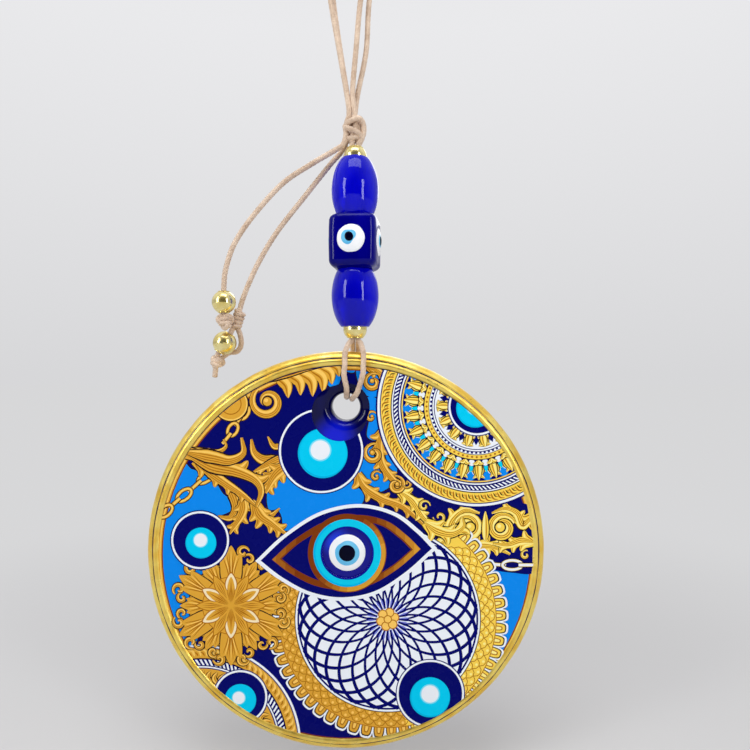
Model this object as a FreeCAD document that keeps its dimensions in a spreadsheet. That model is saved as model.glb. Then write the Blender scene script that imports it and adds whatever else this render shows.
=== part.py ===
import FreeCAD, Part

import math
import os

import Sketcher
from FreeCAD import Placement, Rotation, Vector

# An evil eye wall ornament: a cast glass disc with a gilded edge and a printed face hangs by two
# cord loops from a bar of threaded beads, under an overhand knot and a doubled hanging loop.
# The frame is millimetres with +Z up and the printed face towards -Y. The origin is the middle
# of the disc's flat back. A height is measured up from there.

# Driving dimensions: alias, value, what it is.
DIMENSIONS = [
    ("disc_diameter", 100.0, "over the gilding"),
    ("disc_thickness", 7.0, "flat back to printed face"),
    ("front_round", 2.5, "radius of the gilded front edge"),
    ("back_round", 0.95, "radius of the back edge"),
    ("gilding", 0.15, "thickness of the gilding and of the printed face"),
    ("face_diameter", 93.8, "printed face"),
    ("face_right", 0.2, "printed face's middle, right of the disc's"),
    ("face_up", -0.6, "printed face's middle, above the disc's"),
    ("hole_diameter", 7.0, "throat of the hanging hole"),
    ("hole_up", 36.0, "hanging hole above the disc's middle"),
    ("front_lip", 2.5, "radius of the hole's front lip"),
    ("back_lip", 1.5, "radius of the hole's back lip"),
    ("lip_window", 14.0, "clear window in the printed face round the hole"),
    ("lip_window_right", -1.45, "window's middle, right of the hole"),
    ("lip_window_up", -1.5, "window's middle, above the hole"),
    ("eye_window", 12.4, "clear window in the printed face round the eye"),
    ("eye_right", 0.4, "eye's middle, right of the disc's"),
    ("eye_up", -0.3, "eye's middle, above the disc's"),
    ("eye_white", 9.1, "diameter of the eye's white"),
    ("eye_iris", 6.5, "diameter of the eye's light blue"),
    ("eye_pupil", 4.1, "diameter of the eye's pupil"),
    ("eye_crown", 0.45, "height of the eye's dome over the glass"),
    ("layer", 0.12, "thickness of a glass layer laid on another"),
    ("cord", 1.4, "cord diameter"),
    ("strand_gap", 1.46, "between the middles of neighbouring strands in the bar"),
    ("cord_play", 0.35, "cord clear of the disc's edge and lips"),
    ("bar_right", 2.25, "bead bar's axis, right of the disc's middle"),
    ("bar_depth", 3.5, "bead bar's axis, in front of the disc's back"),
    ("bar_foot", 56.2, "height of the lower oval bead's foot"),
    ("oval_diameter", 12.0, "oval bead"),
    ("oval_length", 16.0, "oval bead"),
    ("oval_end", 7.0, "diameter of an oval bead's flat end"),
    ("bore", 3.6, "bore of the beads on the bar"),
    ("nest", 1.5, "how far an oval bead sits in the cube bead"),
    ("cube_side", 12.0, "cube bead"),
    ("cube_length", 13.8, "cube bead along the bar"),
    ("cube_round", 2.2, "cube bead's edges"),
    ("cube_turn", 8.4, "degrees the cube bead's right side is turned to the front"),
    ("cube_eye_white", 7.0, "diameter of a white on the cube bead"),
    ("cube_eye_iris", 4.1, "diameter of a light blue on the cube bead"),
    ("cube_eye_pupil", 2.4, "diameter of a pupil on the cube bead"),
    ("cube_eye_crown", 0.8, "height of a dome on the cube bead"),
    ("gold_diameter", 6.0, "gold bead"),
    ("gold_out", 0.5, "gold bead's middle outside the oval bead's end"),
    ("play", 0.05, "running play between neighbouring pieces"),
    ("tail_bore", 2.4, "bore of a gold bead on a tail"),
    ("outer_tail_ahead", 0.65, "outer tail's plane, in front of the bar's axis"),
    ("inner_tail_behind", 1.95, "inner tail's plane, behind the bar's axis"),
    ("outer_bead_left", 33.3, "outer tail's bead, left of the bar's axis"),
    ("outer_bead_up", 62.5, "height of the outer tail's bead"),
    ("inner_bead_left", 33.75, "inner tail's bead, left of the bar's axis"),
    ("inner_bead_up", 52.3, "height of the inner tail's bead"),
    ("inner_bead_lean", 30.0, "degrees the inner tail's bead leans to the right"),
    ("knot_width", 5.9, "top knot"),
    ("knot_length", 6.8, "top knot"),
    ("loop_length", 80.0, "hanging loop above the top knot"),
]

doc = FreeCAD.newDocument("EvilEyeOrnament")
sheet = doc.addObject("Spreadsheet::Sheet", "Sizes")
for row, (alias, value, meaning) in enumerate(DIMENSIONS, start=1):
    sheet.set(f"A{row}", alias)
    sheet.set(f"B{row}", str(value))
    sheet.setAlias(f"B{row}", alias)
    sheet.set(f"C{row}", meaning)
doc.recompute()

# Formulae over the sheet that several pieces share.
UNDER_GILDING = "Sizes.disc_thickness - Sizes.gilding"
GOLD_LOW = "(Sizes.bar_foot - Sizes.gold_out)"
CUBE_FOOT = "(Sizes.bar_foot + Sizes.oval_length - Sizes.nest)"
UPPER_OVAL_FOOT = f"({CUBE_FOOT} + Sizes.cube_length - Sizes.nest)"
GOLD_HIGH = f"({UPPER_OVAL_FOOT} + Sizes.oval_length + Sizes.gold_out)"
KNOT_FOOT = f"({GOLD_HIGH} + Sizes.gold_diameter / 2 + Sizes.play)"
OVAL_TALL = "(Sizes.oval_length / 2 / sqrt(1 - (Sizes.oval_end / Sizes.oval_diameter)^2))"
OVAL_AT_NEST = (
    "(Sizes.oval_diameter / 2"
    f" * sqrt(1 - ((Sizes.oval_length / 2 - Sizes.nest) / {OVAL_TALL})^2))"
)

SUB_PARTS = []


def size(alias):
    """A driving dimension's value."""
    return float(getattr(sheet, alias))


def worked_out(expression):
    """A formula's value over the sheet."""
    return float(sheet.evalExpression(expression))


def bind(item, **expressions):
    """Tie an object's properties to the sheet, with __ standing for a dot in their names."""
    for name, expression in expressions.items():
        item.setExpression(name.replace("__", "."), expression)


def keep(item, label):
    """Mark an object as a finished sub-part, written out under its label."""
    item.Label = label
    SUB_PARTS.append(item)
    return item


def primitive(kind, name, **expressions):
    """A Part primitive with its sizes tied to the sheet."""
    item = doc.addObject(kind, name)
    bind(item, **expressions)
    return item


def combine(kind, name, base, tool):
    """A Part::Cut or Part::Common of two objects."""
    item = doc.addObject(kind, name)
    item.Base = base
    item.Tool = tool
    return item


def shaped(name, shape):
    """An object for a shape that no primitive or body makes."""
    item = doc.addObject("Part::Feature", name)
    item.Shape = shape
    return item


# ---- sketches ---------------------------------------------------------------------------------


def sketch_on(body, role, name):
    """A sketch on one of a body's own origin planes."""
    plane = next(f for f in body.Origin.OriginFeatures if f.Role == role)
    sketch = body.newObject("Sketcher::SketchObject", name)
    sketch.AttachmentSupport = [(plane, "")]
    sketch.MapMode = "FlatFace"
    return sketch


def tie(sketch, constraint, name, expression):
    """Add a named constraint and tie it to the sheet."""
    index = sketch.addConstraint(constraint)
    sketch.renameConstraint(index, name)
    sketch.setExpression(f"Constraints.{name}", expression)


def circle_sketch(body, name, diameter, right="0", up="0"):
    """A circle on the body's XZ plane, with its diameter and middle tied to the sheet."""
    sketch = sketch_on(body, "XZ_Plane", name)
    circle = sketch.addGeometry(Part.Circle(Vector(1, 1, 0), Vector(0, 0, 1), 1))
    tie(sketch, Sketcher.Constraint("Diameter", circle, 2), "diameter", diameter)
    tie(sketch, Sketcher.Constraint("DistanceX", -1, 1, circle, 3, 1), "right", right)
    tie(sketch, Sketcher.Constraint("DistanceY", -1, 1, circle, 3, 1), "up", up)
    return sketch


def square_sketch(body, name, side):
    """A square on the body's XY plane, about its origin."""
    sketch = sketch_on(body, "XY_Plane", name)
    corners = [Vector(-5, -5, 0), Vector(5, -5, 0), Vector(5, 5, 0), Vector(-5, 5, 0)]
    for corner, following in zip(corners, corners[1:] + corners[:1]):
        sketch.addGeometry(Part.LineSegment(corner, following))
    for line in range(4):
        sketch.addConstraint(Sketcher.Constraint("Coincident", line, 2, (line + 1) % 4, 1))
        direction = "Vertical" if line % 2 else "Horizontal"
        sketch.addConstraint(Sketcher.Constraint(direction, line))
    sketch.addConstraint(Sketcher.Constraint("Symmetric", 0, 1, 2, 1, -1, 1))
    tie(sketch, Sketcher.Constraint("DistanceX", 0, 1, 0, 2, 1), "across", side)
    tie(sketch, Sketcher.Constraint("DistanceY", 1, 1, 1, 2, 1), "along", side)
    return sketch


def pocket_through(body, sketch, name):
    """A pocket right through the body, both ways from its sketch."""
    pocket = body.newObject("PartDesign::Pocket", name)
    pocket.Profile = sketch
    pocket.Type = "ThroughAll"
    pocket.Midplane = True
    doc.recompute()
    return pocket


def round_edges(body, base, name, chosen, radius):
    """Round those edges of a feature for which chosen(edge) holds."""
    doc.recompute()
    names = [f"Edge{n}" for n, edge in enumerate(base.Shape.Edges, start=1) if chosen(edge)]
    fillet = body.newObject("PartDesign::Fillet", name)
    fillet.Base = (base, names)
    bind(fillet, Radius=radius)
    doc.recompute()
    return fillet


def circle_at(depth, diameter):
    """Chooses circles of one diameter whose middle is that far in front of the back."""

    def chosen(edge):
        return (
            isinstance(edge.Curve, Part.Circle)
            and abs(edge.Curve.Center.y + depth) < 1e-4
            and abs(2 * edge.Curve.Radius - diameter) < 1e-4
        )

    return chosen


# ---- the disc ---------------------------------------------------------------------------------


def plate(name, diameter, thickness, front_round, back_round):
    """A round plate with its back on the XZ plane, facing -Y, with its two edges rounded."""
    body = doc.addObject("PartDesign::Body", name)
    outline = circle_sketch(body, f"{name}_outline", diameter)
    pad = body.newObject("PartDesign::Pad", f"{name}_pad")
    pad.Profile = outline
    bind(pad, Length=thickness)
    doc.recompute()
    across = worked_out(diameter)
    front = round_edges(
        body, pad, f"{name}_front", circle_at(worked_out(thickness), across), front_round
    )
    back = round_edges(body, front, f"{name}_back", circle_at(0.0, across), back_round)
    return body, back


def bare_plate(name):
    """The disc without its gilding."""
    return plate(
        name,
        "Sizes.disc_diameter - 2 * Sizes.gilding",
        UNDER_GILDING,
        "Sizes.front_round - Sizes.gilding",
        "Sizes.back_round - Sizes.gilding",
    )


def disc_glass():
    """The cast glass disc, under its gilding, with the lipped hanging hole."""
    body, solid = bare_plate("glass")
    throat = circle_sketch(body, "throat", "Sizes.hole_diameter", up="Sizes.hole_up")
    hole = pocket_through(body, throat, "hole")
    across = size("hole_diameter")
    front = circle_at(worked_out(UNDER_GILDING), across)
    lip = round_edges(body, hole, "front_lip_round", front, "Sizes.front_lip")
    round_edges(body, lip, "back_lip_round", circle_at(0.0, across), "Sizes.back_lip")
    keep(body, "disc_glass")


def gilded_edge():
    """The gilding over the rounded edge, from the printed face round to the back."""
    over, _ = plate(
        "gilt_over",
        "Sizes.disc_diameter",
        "Sizes.disc_thickness",
        "Sizes.front_round",
        "Sizes.back_round",
    )
    under, _ = bare_plate("gilt_under")
    skin = combine("Part::Cut", "gilt_skin", over, under)
    opening = primitive(
        "Part::Cylinder",
        "gilt_opening",
        Radius="Sizes.face_diameter / 2",
        Height="2 * Sizes.disc_thickness",
    )
    opening.Placement = Placement(Vector(), Rotation(Vector(1, 0, 0), 90))
    bind(opening, Placement__Base__x="Sizes.face_right", Placement__Base__z="Sizes.face_up")
    keep(combine("Part::Cut", "gilt", skin, opening), "gilded_edge")


def printed_face():
    """The printed film on the front, with windows round the hanging hole and the eye."""
    body = doc.addObject("PartDesign::Body", "face")
    outline = circle_sketch(
        body, "face_outline", "Sizes.face_diameter", "Sizes.face_right", "Sizes.face_up"
    )
    bind(outline, AttachmentOffset__Base__z=UNDER_GILDING)
    pad = body.newObject("PartDesign::Pad", "face_pad")
    pad.Profile = outline
    bind(pad, Length="Sizes.gilding")
    windows = [
        (
            "lip_window",
            "Sizes.lip_window",
            "Sizes.lip_window_right",
            "Sizes.hole_up + Sizes.lip_window_up",
        ),
        ("lip_mouth", "Sizes.hole_diameter + 2 * Sizes.front_lip", "0", "Sizes.hole_up"),
        ("eye_window", "Sizes.eye_window", "Sizes.eye_right", "Sizes.eye_up"),
    ]
    for name, diameter, right, up in windows:
        pocket_through(body, circle_sketch(body, f"{name}_edge", diameter, right, up), name)
    keep(body, "printed_face")


# ---- glass eyes -------------------------------------------------------------------------------


def dome_layer(name, diameter, white, crown, layers, floor):
    """One layer of a glass eye that looks along -Y, with its floor that far from the origin.

    The white is a shallow cap of a ball. Each layer over it is a smaller shell on the last.
    """
    ball = f"((({white}) / 2)^2 + ({crown})^2) / (2 * ({crown}))"
    middle = f"{ball} - ({crown}) - ({floor})"
    column = primitive(
        "Part::Cylinder", f"{name}_column", Radius=f"({diameter}) / 2", Height=f"2 * ({crown})"
    )
    column.Placement = Placement(Vector(), Rotation(Vector(1, 0, 0), 90))
    bind(column, Placement__Base__y=f"-({floor})")
    outer = primitive("Part::Sphere", f"{name}_outer", Radius=f"{ball} + {layers} * Sizes.layer")
    bind(outer, Placement__Base__y=middle)
    cap = combine("Part::Common", f"{name}_cap", column, outer)
    if not layers:
        return cap
    inner = primitive(
        "Part::Sphere", f"{name}_inner", Radius=f"{ball} + {layers - 1} * Sizes.layer"
    )
    bind(inner, Placement__Base__y=middle)
    return combine("Part::Cut", f"{name}_shell", cap, inner)


def disc_eye():
    """The fused white, light blue and pupil in the middle of the disc."""
    for layers, alias in enumerate(["eye_white", "eye_iris", "eye_pupil"]):
        item = dome_layer(
            f"disc_{alias}",
            f"Sizes.{alias}",
            "Sizes.eye_white",
            "Sizes.eye_crown",
            layers,
            UNDER_GILDING,
        )
        bind(item, Placement__Base__x="Sizes.eye_right", Placement__Base__z="Sizes.eye_up")
        keep(item, alias)


# ---- the bead bar -----------------------------------------------------------------------------


def on_bar(item, height):
    """Move an object modelled on the Z axis onto the bar, at a height."""
    bind(
        item,
        Placement__Base__x="Sizes.bar_right",
        Placement__Base__y="-Sizes.bar_depth",
        Placement__Base__z=height,
    )
    return item


def drill(name, bore, length):
    """A drill about the Z axis, as long below the XY plane as above it."""
    item = primitive("Part::Cylinder", name, Radius=f"{bore} / 2", Height=f"2 * ({length})")
    bind(item, Placement__Base__z=f"-({length})")
    return item


def gold_bead(name, bore):
    """A gold ball with a straight bore along Z."""
    ball = primitive("Part::Sphere", f"{name}_ball", Radius="Sizes.gold_diameter / 2")
    bit = drill(f"{name}_drill", bore, "Sizes.gold_diameter")
    return combine("Part::Cut", f"{name}_drilled", ball, bit)


def oval_bead(name, gold_height):
    """An oval glass bead about the XY plane, bored, with a ball seat for the gold bead."""
    oval = primitive(
        "Part::Ellipsoid",
        f"{name}_oval",
        Radius1=OVAL_TALL,
        Radius2="Sizes.oval_diameter / 2",
        Radius3="Sizes.oval_diameter / 2",
    )
    ends = drill(f"{name}_ends", "(2 * Sizes.oval_diameter)", "Sizes.oval_length / 2")
    trimmed = combine("Part::Common", f"{name}_trimmed", oval, ends)
    bit = drill(f"{name}_drill", "Sizes.bore", "Sizes.oval_length")
    bored = combine("Part::Cut", f"{name}_bored", trimmed, bit)
    seat = primitive(
        "Part::Sphere", f"{name}_seat", Radius="Sizes.gold_diameter / 2 + Sizes.play"
    )
    bind(seat, Placement__Base__z=gold_height)
    return combine("Part::Cut", f"{name}_seated", bored, seat)


def cube_bead():
    """The cube glass bead about the XY plane, with a dimple in each end for an oval bead."""
    body = doc.addObject("PartDesign::Body", "cube")
    pad = body.newObject("PartDesign::Pad", "cube_pad")
    pad.Profile = square_sketch(body, "cube_outline", "Sizes.cube_side")
    pad.Midplane = True
    bind(pad, Length="Sizes.cube_length")
    round_edges(body, pad, "cube_rounding", lambda edge: True, "Sizes.cube_round")
    solid = combine(
        "Part::Cut", "cube_bored", body, drill("cube_drill", "Sizes.bore", "Sizes.cube_length")
    )
    for end, angle in [("foot", 0), ("head", 180)]:
        dimple = primitive(
            "Part::Cone",
            f"cube_{end}_dimple",
            Radius1=f"{OVAL_AT_NEST} + Sizes.play",
            Radius2="Sizes.oval_end / 2 + Sizes.play",
            Height="Sizes.nest + Sizes.play",
        )
        dimple.Placement = Placement(Vector(), Rotation(Vector(1, 0, 0), angle))
        side = "" if angle else "-"
        bind(dimple, Placement__Base__z=f"{side}Sizes.cube_length / 2")
        solid = combine("Part::Cut", f"cube_{end}_cut", solid, dimple)
    return solid


def turned_on_bar(item, height):
    """Put an object on the bar, turned with the cube bead."""
    item.Placement = Placement(Vector(), Rotation(Vector(0, 0, 1), -size("cube_turn")))
    on_bar(item, height)
    bind(item, Placement__Rotation__Angle="Sizes.cube_turn")
    return item


def bead_bar():
    """Two gold beads, two oval beads and the cube bead between them, from the foot up."""
    keep(on_bar(gold_bead("lower_gold", "Sizes.bore"), GOLD_LOW), "lower_gold_bead")
    half = "Sizes.oval_length / 2"
    lower = oval_bead("lower_oval", f"-({half} + Sizes.gold_out)")
    keep(on_bar(lower, f"Sizes.bar_foot + {half}"), "lower_oval_bead")
    middle = f"{CUBE_FOOT} + Sizes.cube_length / 2"
    keep(turned_on_bar(cube_bead(), middle), "cube_bead")
    upper = oval_bead("upper_oval", f"{half} + Sizes.gold_out")
    keep(on_bar(upper, f"{UPPER_OVAL_FOOT} + {half}"), "upper_oval_bead")
    keep(on_bar(gold_bead("upper_gold", "Sizes.bore"), GOLD_HIGH), "upper_gold_bead")


def cube_eyes():
    """Four domed eyes on the sides of the cube bead, one node for each colour."""
    middle = f"{CUBE_FOOT} + Sizes.cube_length / 2"
    colours = [
        ("cube_eye_white", "cube_eye_whites"),
        ("cube_eye_iris", "cube_eye_irises"),
        ("cube_eye_pupil", "cube_eye_pupils"),
    ]
    for layers, (alias, label) in enumerate(colours):
        first = dome_layer(
            f"first_{alias}",
            f"Sizes.{alias}",
            "Sizes.cube_eye_white",
            "Sizes.cube_eye_crown",
            layers,
            "Sizes.cube_side / 2",
        )
        doc.recompute()
        sides = [first.Shape.rotated(Vector(), Vector(0, 0, 1), 90 * turn) for turn in range(4)]
        keep(turned_on_bar(shaped(alias, Part.makeCompound(sides)), middle), label)


# ---- cords ------------------------------------------------------------------------------------


def cord_along(points, sideways):
    """A round cord along a smooth curve through points.

    sideways is a direction that the curve never runs in, across its bends.
    """
    curve = Part.BSplineCurve()
    curve.interpolate(points)
    start = curve.FirstParameter
    ring = Part.Circle(points[0], curve.tangent(start)[0], size("cord") / 2)
    sweep = Part.BRepOffsetAPI.MakePipeShell(Part.Wire([curve.toShape()]))
    sweep.setBiNormalMode(sideways)
    sweep.add(Part.Wire([ring.toShape()]))
    sweep.build()
    sweep.makeSolid()
    return sweep.shape()


def bar_strands(label, foot, head):
    """Four straight strands side by side inside the beads, between two heights."""
    strands = []
    for right in (-0.5, 0.5):
        for back in (-0.5, 0.5):
            strand = Part.makeCylinder(size("cord") / 2, worked_out(head) - worked_out(foot))
            strand.translate(Vector(right, back, 0) * size("strand_gap"))
            strands.append(strand)
    keep(on_bar(shaped(label, Part.makeCompound(strands)), foot), label)


def cords_in_bar():
    """The strands in the lower gold bead, which twist, and those in the rest of the bar."""
    flush = 2.45  # from a gold bead's middle to the mouth of its bore
    above = 2.3  # from the lower gold bead's middle to where the strands start to twist
    bar_strands("neck_cords", f"{GOLD_LOW} - {flush}", f"{GOLD_LOW} + {above}")
    bar_strands("bar_cords", f"{GOLD_LOW} + {above} + Sizes.play", f"{GOLD_HIGH} + {flush}")


def rim_bow(side):
    """The front of a lower loop, from the bar to the hole, as points.

    side is -1 for the left strand and 1 for the right. It bows out, comes down in front of the
    gilded edge and follows the hole's front lip into the throat.
    """
    clear = size("cord") / 2 + size("cord_play")
    front = -size("disc_thickness") - clear
    strand = side * size("strand_gap") / 2
    across = size("bar_right")
    depth = -size("bar_depth")
    foot = worked_out(GOLD_LOW) - size("gold_diameter") / 2 - 2 * size("play")
    bow = 2.4 if side < 0 else 2.2  # widest, from the bar's axis
    edge = size("disc_diameter") / 2
    return [
        Vector(across + strand, depth - size("strand_gap") / 2, foot),
        Vector(across + side * 1.5, depth - 2.1, foot - 1.2),
        Vector(across + side * bow, front + 0.55, edge - 0.6),
        Vector(across + side * bow, front, edge - 3.4),
        Vector(across + side * bow - 0.2, front, edge - 6.0),
    ]


def lip_turn(angle_from_top, front_to_back):
    """Points of a cord round the lips and through the throat of the hanging hole.

    angle_from_top places the strand in the throat, in degrees to the right of straight up.
    """
    clear = size("cord") / 2 + size("cord_play")
    throat = size("hole_diameter") / 2
    out = Vector(math.sin(angle_from_top), 0, math.cos(angle_from_top))
    hole = Vector(0, 0, size("hole_up"))
    points = []
    for lip, depth, way in [
        (size("front_lip"), size("disc_thickness") - size("front_lip"), -1),
        (size("back_lip"), size("back_lip"), 1),
    ]:
        reach = lip + clear
        turns = [20, 50, 80] if way < 0 else [80, 50, 20]
        for turn in map(math.radians, turns):
            away = throat + lip - reach * math.sin(turn)
            points.append(
                hole + out * away + Vector(0, -depth + way * reach * math.cos(turn), 0)
            )
    return points if front_to_back else points[::-1]


def lower_loops():
    """The two cord loops that carry the disc, from the bar through the hole and back up."""
    clear = size("cord") / 2 + size("cord_play")
    edge = size("disc_diameter") / 2
    across = size("bar_right")
    depth = -size("bar_depth")
    foot = worked_out(GOLD_LOW) - size("gold_diameter") / 2 - 2 * size("play")
    for label, side, angle in [("lower_loop_left", -1, 3), ("lower_loop_right", 1, 38)]:
        strand = across + side * size("strand_gap") / 2
        rear = [
            Vector(across - 0.4 + side * 0.9, clear, edge - 7.0),
            Vector(across - 0.1 + side * 0.8, clear, edge - 1.6),
            Vector(strand, clear - 0.45, edge + 0.6),
            Vector(strand, depth + 2.2, foot - 1.2),
            Vector(strand, depth + size("strand_gap") / 2, foot),
        ]
        points = rim_bow(side) + lip_turn(math.radians(angle), True) + rear
        keep(shaped(label, cord_along(points, Vector(1, 0, 0))), label)


def hanging_loops():
    """The doubled hanging loop above the knot: one cord loop inside the other."""
    start = worked_out(KNOT_FOOT) + size("knot_length")
    across = size("bar_right")
    depth = -size("bar_depth")
    tall = size("loop_length")
    lean = size("strand_gap") / 2 + size("play")
    # Right of the bar's axis, and height as a share of the loop's length.
    outer = [
        (-1.5, 0.011),
        (-1.9, 0.06),
        (-4.1, 0.22),
        (-6.3, 0.38),
        (-8.4, 0.58),
        (-8.5, 0.76),
        (-5.9, 0.92),
        (-3.0, 0.985),
        (0.0, 1.0),
        (3.0, 0.985),
        (5.7, 0.925),
        (7.4, 0.79),
        (5.9, 0.58),
        (3.6, 0.38),
        (2.8, 0.22),
        (0.6, 0.08),
        (-0.03, 0.011),
    ]
    inner = [
        (-1.5, 0.011),
        (-1.8, 0.06),
        (-3.8, 0.22),
        (-5.6, 0.38),
        (-7.1, 0.58),
        (-7.1, 0.75),
        (-4.6, 0.89),
        (-2.2, 0.955),
        (0.0, 0.97),
        (2.2, 0.955),
        (4.2, 0.895),
        (5.3, 0.77),
        (4.0, 0.58),
        (1.5, 0.38),
        (0.3, 0.22),
        (-0.6, 0.08),
        (-0.03, 0.011),
    ]
    for label, outline, way in [("hanging_loop_outer", outer, -1), ("hanging_loop_inner", inner, 1)]:
        points = []
        for place, (right, up) in enumerate(outline):
            crossed = 1.3 * math.cos(math.pi * place / (len(outline) - 1))
            back = way * lean * max(-1, min(1, crossed))
            points.append(Vector(across + right, depth + back, start + up * tall))
        keep(shaped(label, cord_along(points, Vector(0, 1, 0))), label)


def ball_at(centre, radii):
    """An ellipsoid for a small knot."""
    stretch = FreeCAD.Matrix(
        radii[0], 0, 0, centre.x, 0, radii[1], 0, centre.y, 0, 0, radii[2], centre.z, 0, 0, 0, 1
    )
    return Part.makeSphere(1).transformGeometry(stretch)


def tail(label, points, depth, knots):
    """A cord tail from the top knot, with its own knots, in a plane that far in front.

    Points and knots are given left of the bar's axis and by height.
    """
    across = size("bar_right")
    path = [Vector(across - left, -depth, up) for left, up in points]
    cord = cord_along(path, Vector(0, 1, 0))
    for left, back, up, radii in knots:
        cord = cord.fuse(ball_at(Vector(across - left, -depth + back, up), radii))
    keep(shaped(label, cord.removeSplitter()), label)


def tail_bead(label, prefix, depth, lean):
    """A gold bead on a tail, leaning with its cord."""
    bead = gold_bead(label, "Sizes.tail_bore")
    bead.Placement = Placement(Vector(), Rotation(Vector(0, 1, 0), 1.0))
    bind(
        bead,
        Placement__Base__x=f"Sizes.bar_right - Sizes.{prefix}_left",
        Placement__Base__y=f"-({depth})",
        Placement__Base__z=f"Sizes.{prefix}_up",
        Placement__Rotation__Angle=lean,
    )
    keep(bead, label)


def tails():
    """Two cord tails to the left of the bar, each with a gold bead and stopper knots."""
    out_left, out_up = size("outer_bead_left"), size("outer_bead_up")
    outer = [
        (2.3, 103.0),
        (4.9, 101.2),
        (11.5, 97.3),
        (18.4, 92.6),
        (25.8, 84.5),
        (30.6, 77.4),
        (32.8, 71.0),
        (out_left, out_up + 4.0),
        (out_left, out_up),
        (out_left - 0.1, out_up - 5.0),
    ]
    ahead = "Sizes.bar_depth + Sizes.outer_tail_ahead"
    behind = "Sizes.bar_depth - Sizes.inner_tail_behind"
    tail("outer_tail_cord", outer, worked_out(ahead), [(33.0, 0, 57.5, (2.1, 1.7, 2.1))])
    tail_bead("outer_tail_bead", "outer_bead", ahead, "0")

    in_left, in_up = size("inner_bead_left"), size("inner_bead_up")
    lean = math.radians(size("inner_bead_lean"))
    slope = (math.sin(lean), -math.cos(lean))
    inner = [
        (3.3, 102.0),
        (6.7, 98.1),
        (13.0, 90.2),
        (20.2, 81.0),
        (24.7, 73.6),
        (27.5, 67.7),
        (29.3, 62.9),
        (30.4, 58.9),
    ]
    inner += [(in_left + slope[0] * step, in_up + slope[1] * step) for step in (-3.6, 0, 3.6)]
    inner += [(36.3, 43.6)]
    knots = [(30.2, 0.9, 55.4, (0.95, 0.95, 2.2)), (35.6, 0, 47.4, (1.6, 1.5, 1.5))]
    tail("inner_tail_cord", inner, worked_out(behind), knots)
    tail_bead("inner_tail_bead", "inner_bead", behind, "Sizes.inner_bead_lean")


def top_knot():
    """The overhand knot over the bar: a body of cord with a turn of cord round it."""
    middle = f"{KNOT_FOOT} + Sizes.knot_length / 2"
    core = primitive(
        "Part::Ellipsoid",
        "knot_core",
        Radius1="Sizes.knot_length / 2",
        Radius2="Sizes.knot_width / 2 - Sizes.cord / 4",
        Radius3="Sizes.knot_width / 2 - Sizes.cord / 4",
    )
    turn = primitive(
        "Part::Torus",
        "knot_turn",
        Radius1="Sizes.knot_width / 2 - Sizes.cord / 2",
        Radius2="Sizes.cord / 2",
    )
    knot = doc.addObject("Part::Fuse", "knot")
    knot.Base = core
    knot.Tool = turn
    keep(on_bar(knot, middle), "top_knot")


# ---- the whole ornament -----------------------------------------------------------------------

disc_glass()
gilded_edge()
printed_face()
disc_eye()
bead_bar()
cube_eyes()
cords_in_bar()
lower_loops()
hanging_loops()
top_knot()
tails()
doc.recompute()

for item in doc.Objects:
    if "Invalid" in item.State or "Error" in item.State:
        raise RuntimeError(f"{item.Name} ({item.Label}) failed: {item.State}")
for item in SUB_PARTS:
    if item.Shape.isNull() or not item.Shape.isValid() or not item.Shape.Solids:
        raise RuntimeError(f"{item.Label} has no valid solid")

os.makedirs("parts", exist_ok=True)
for item in SUB_PARTS:
    item.Shape.exportStep(f"parts/{item.Label}.step")
    print(f"{item.Label}: {len(item.Shape.Solids)} solid(s), {item.Shape.Volume:.1f} mm3")
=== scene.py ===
import math

import bpy
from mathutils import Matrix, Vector, noise
from mathutils.geometry import tessellate_polygon


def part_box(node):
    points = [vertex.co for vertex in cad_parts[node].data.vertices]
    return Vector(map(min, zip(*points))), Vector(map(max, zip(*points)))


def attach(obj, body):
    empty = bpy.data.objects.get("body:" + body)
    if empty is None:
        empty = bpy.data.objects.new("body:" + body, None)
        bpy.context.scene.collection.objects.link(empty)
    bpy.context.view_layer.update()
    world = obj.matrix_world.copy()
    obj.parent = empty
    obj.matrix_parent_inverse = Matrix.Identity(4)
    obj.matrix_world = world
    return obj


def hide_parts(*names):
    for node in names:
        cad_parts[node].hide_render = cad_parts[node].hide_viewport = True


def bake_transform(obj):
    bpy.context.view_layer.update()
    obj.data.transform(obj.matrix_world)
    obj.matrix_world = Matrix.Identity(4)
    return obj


# An evil eye wall ornament: a cast glass disc with a gilded edge and a printed front hangs by two
# cord loops from a bar of threaded beads, under an overhand knot and a doubled hanging loop.
# Sizes are millimetres in the frame's axes: +Z up, the printed front towards -Y, the origin in
# the middle of the disc's flat back. They become metres where a mesh is made.

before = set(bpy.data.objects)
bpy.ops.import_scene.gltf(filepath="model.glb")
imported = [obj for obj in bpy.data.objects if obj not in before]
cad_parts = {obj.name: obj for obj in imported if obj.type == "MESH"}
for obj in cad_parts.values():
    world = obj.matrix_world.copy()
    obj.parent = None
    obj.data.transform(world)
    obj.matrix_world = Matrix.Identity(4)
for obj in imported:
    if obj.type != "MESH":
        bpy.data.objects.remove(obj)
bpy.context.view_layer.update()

MM = 0.001
X = Vector((1, 0, 0))
Y = Vector((0, 1, 0))
Z = Vector((0, 0, 1))
noise.seed_set(7)


# ---- places that come from the frame ----------------------------------------------------------


def corners(node):
    """A CAD node's lowest and highest corners, in millimetres."""
    low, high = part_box(node)
    return low / MM, high / MM


def middle(node):
    """The middle of a CAD node's box, in millimetres."""
    low, high = corners(node)
    return (low + high) / 2


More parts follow.
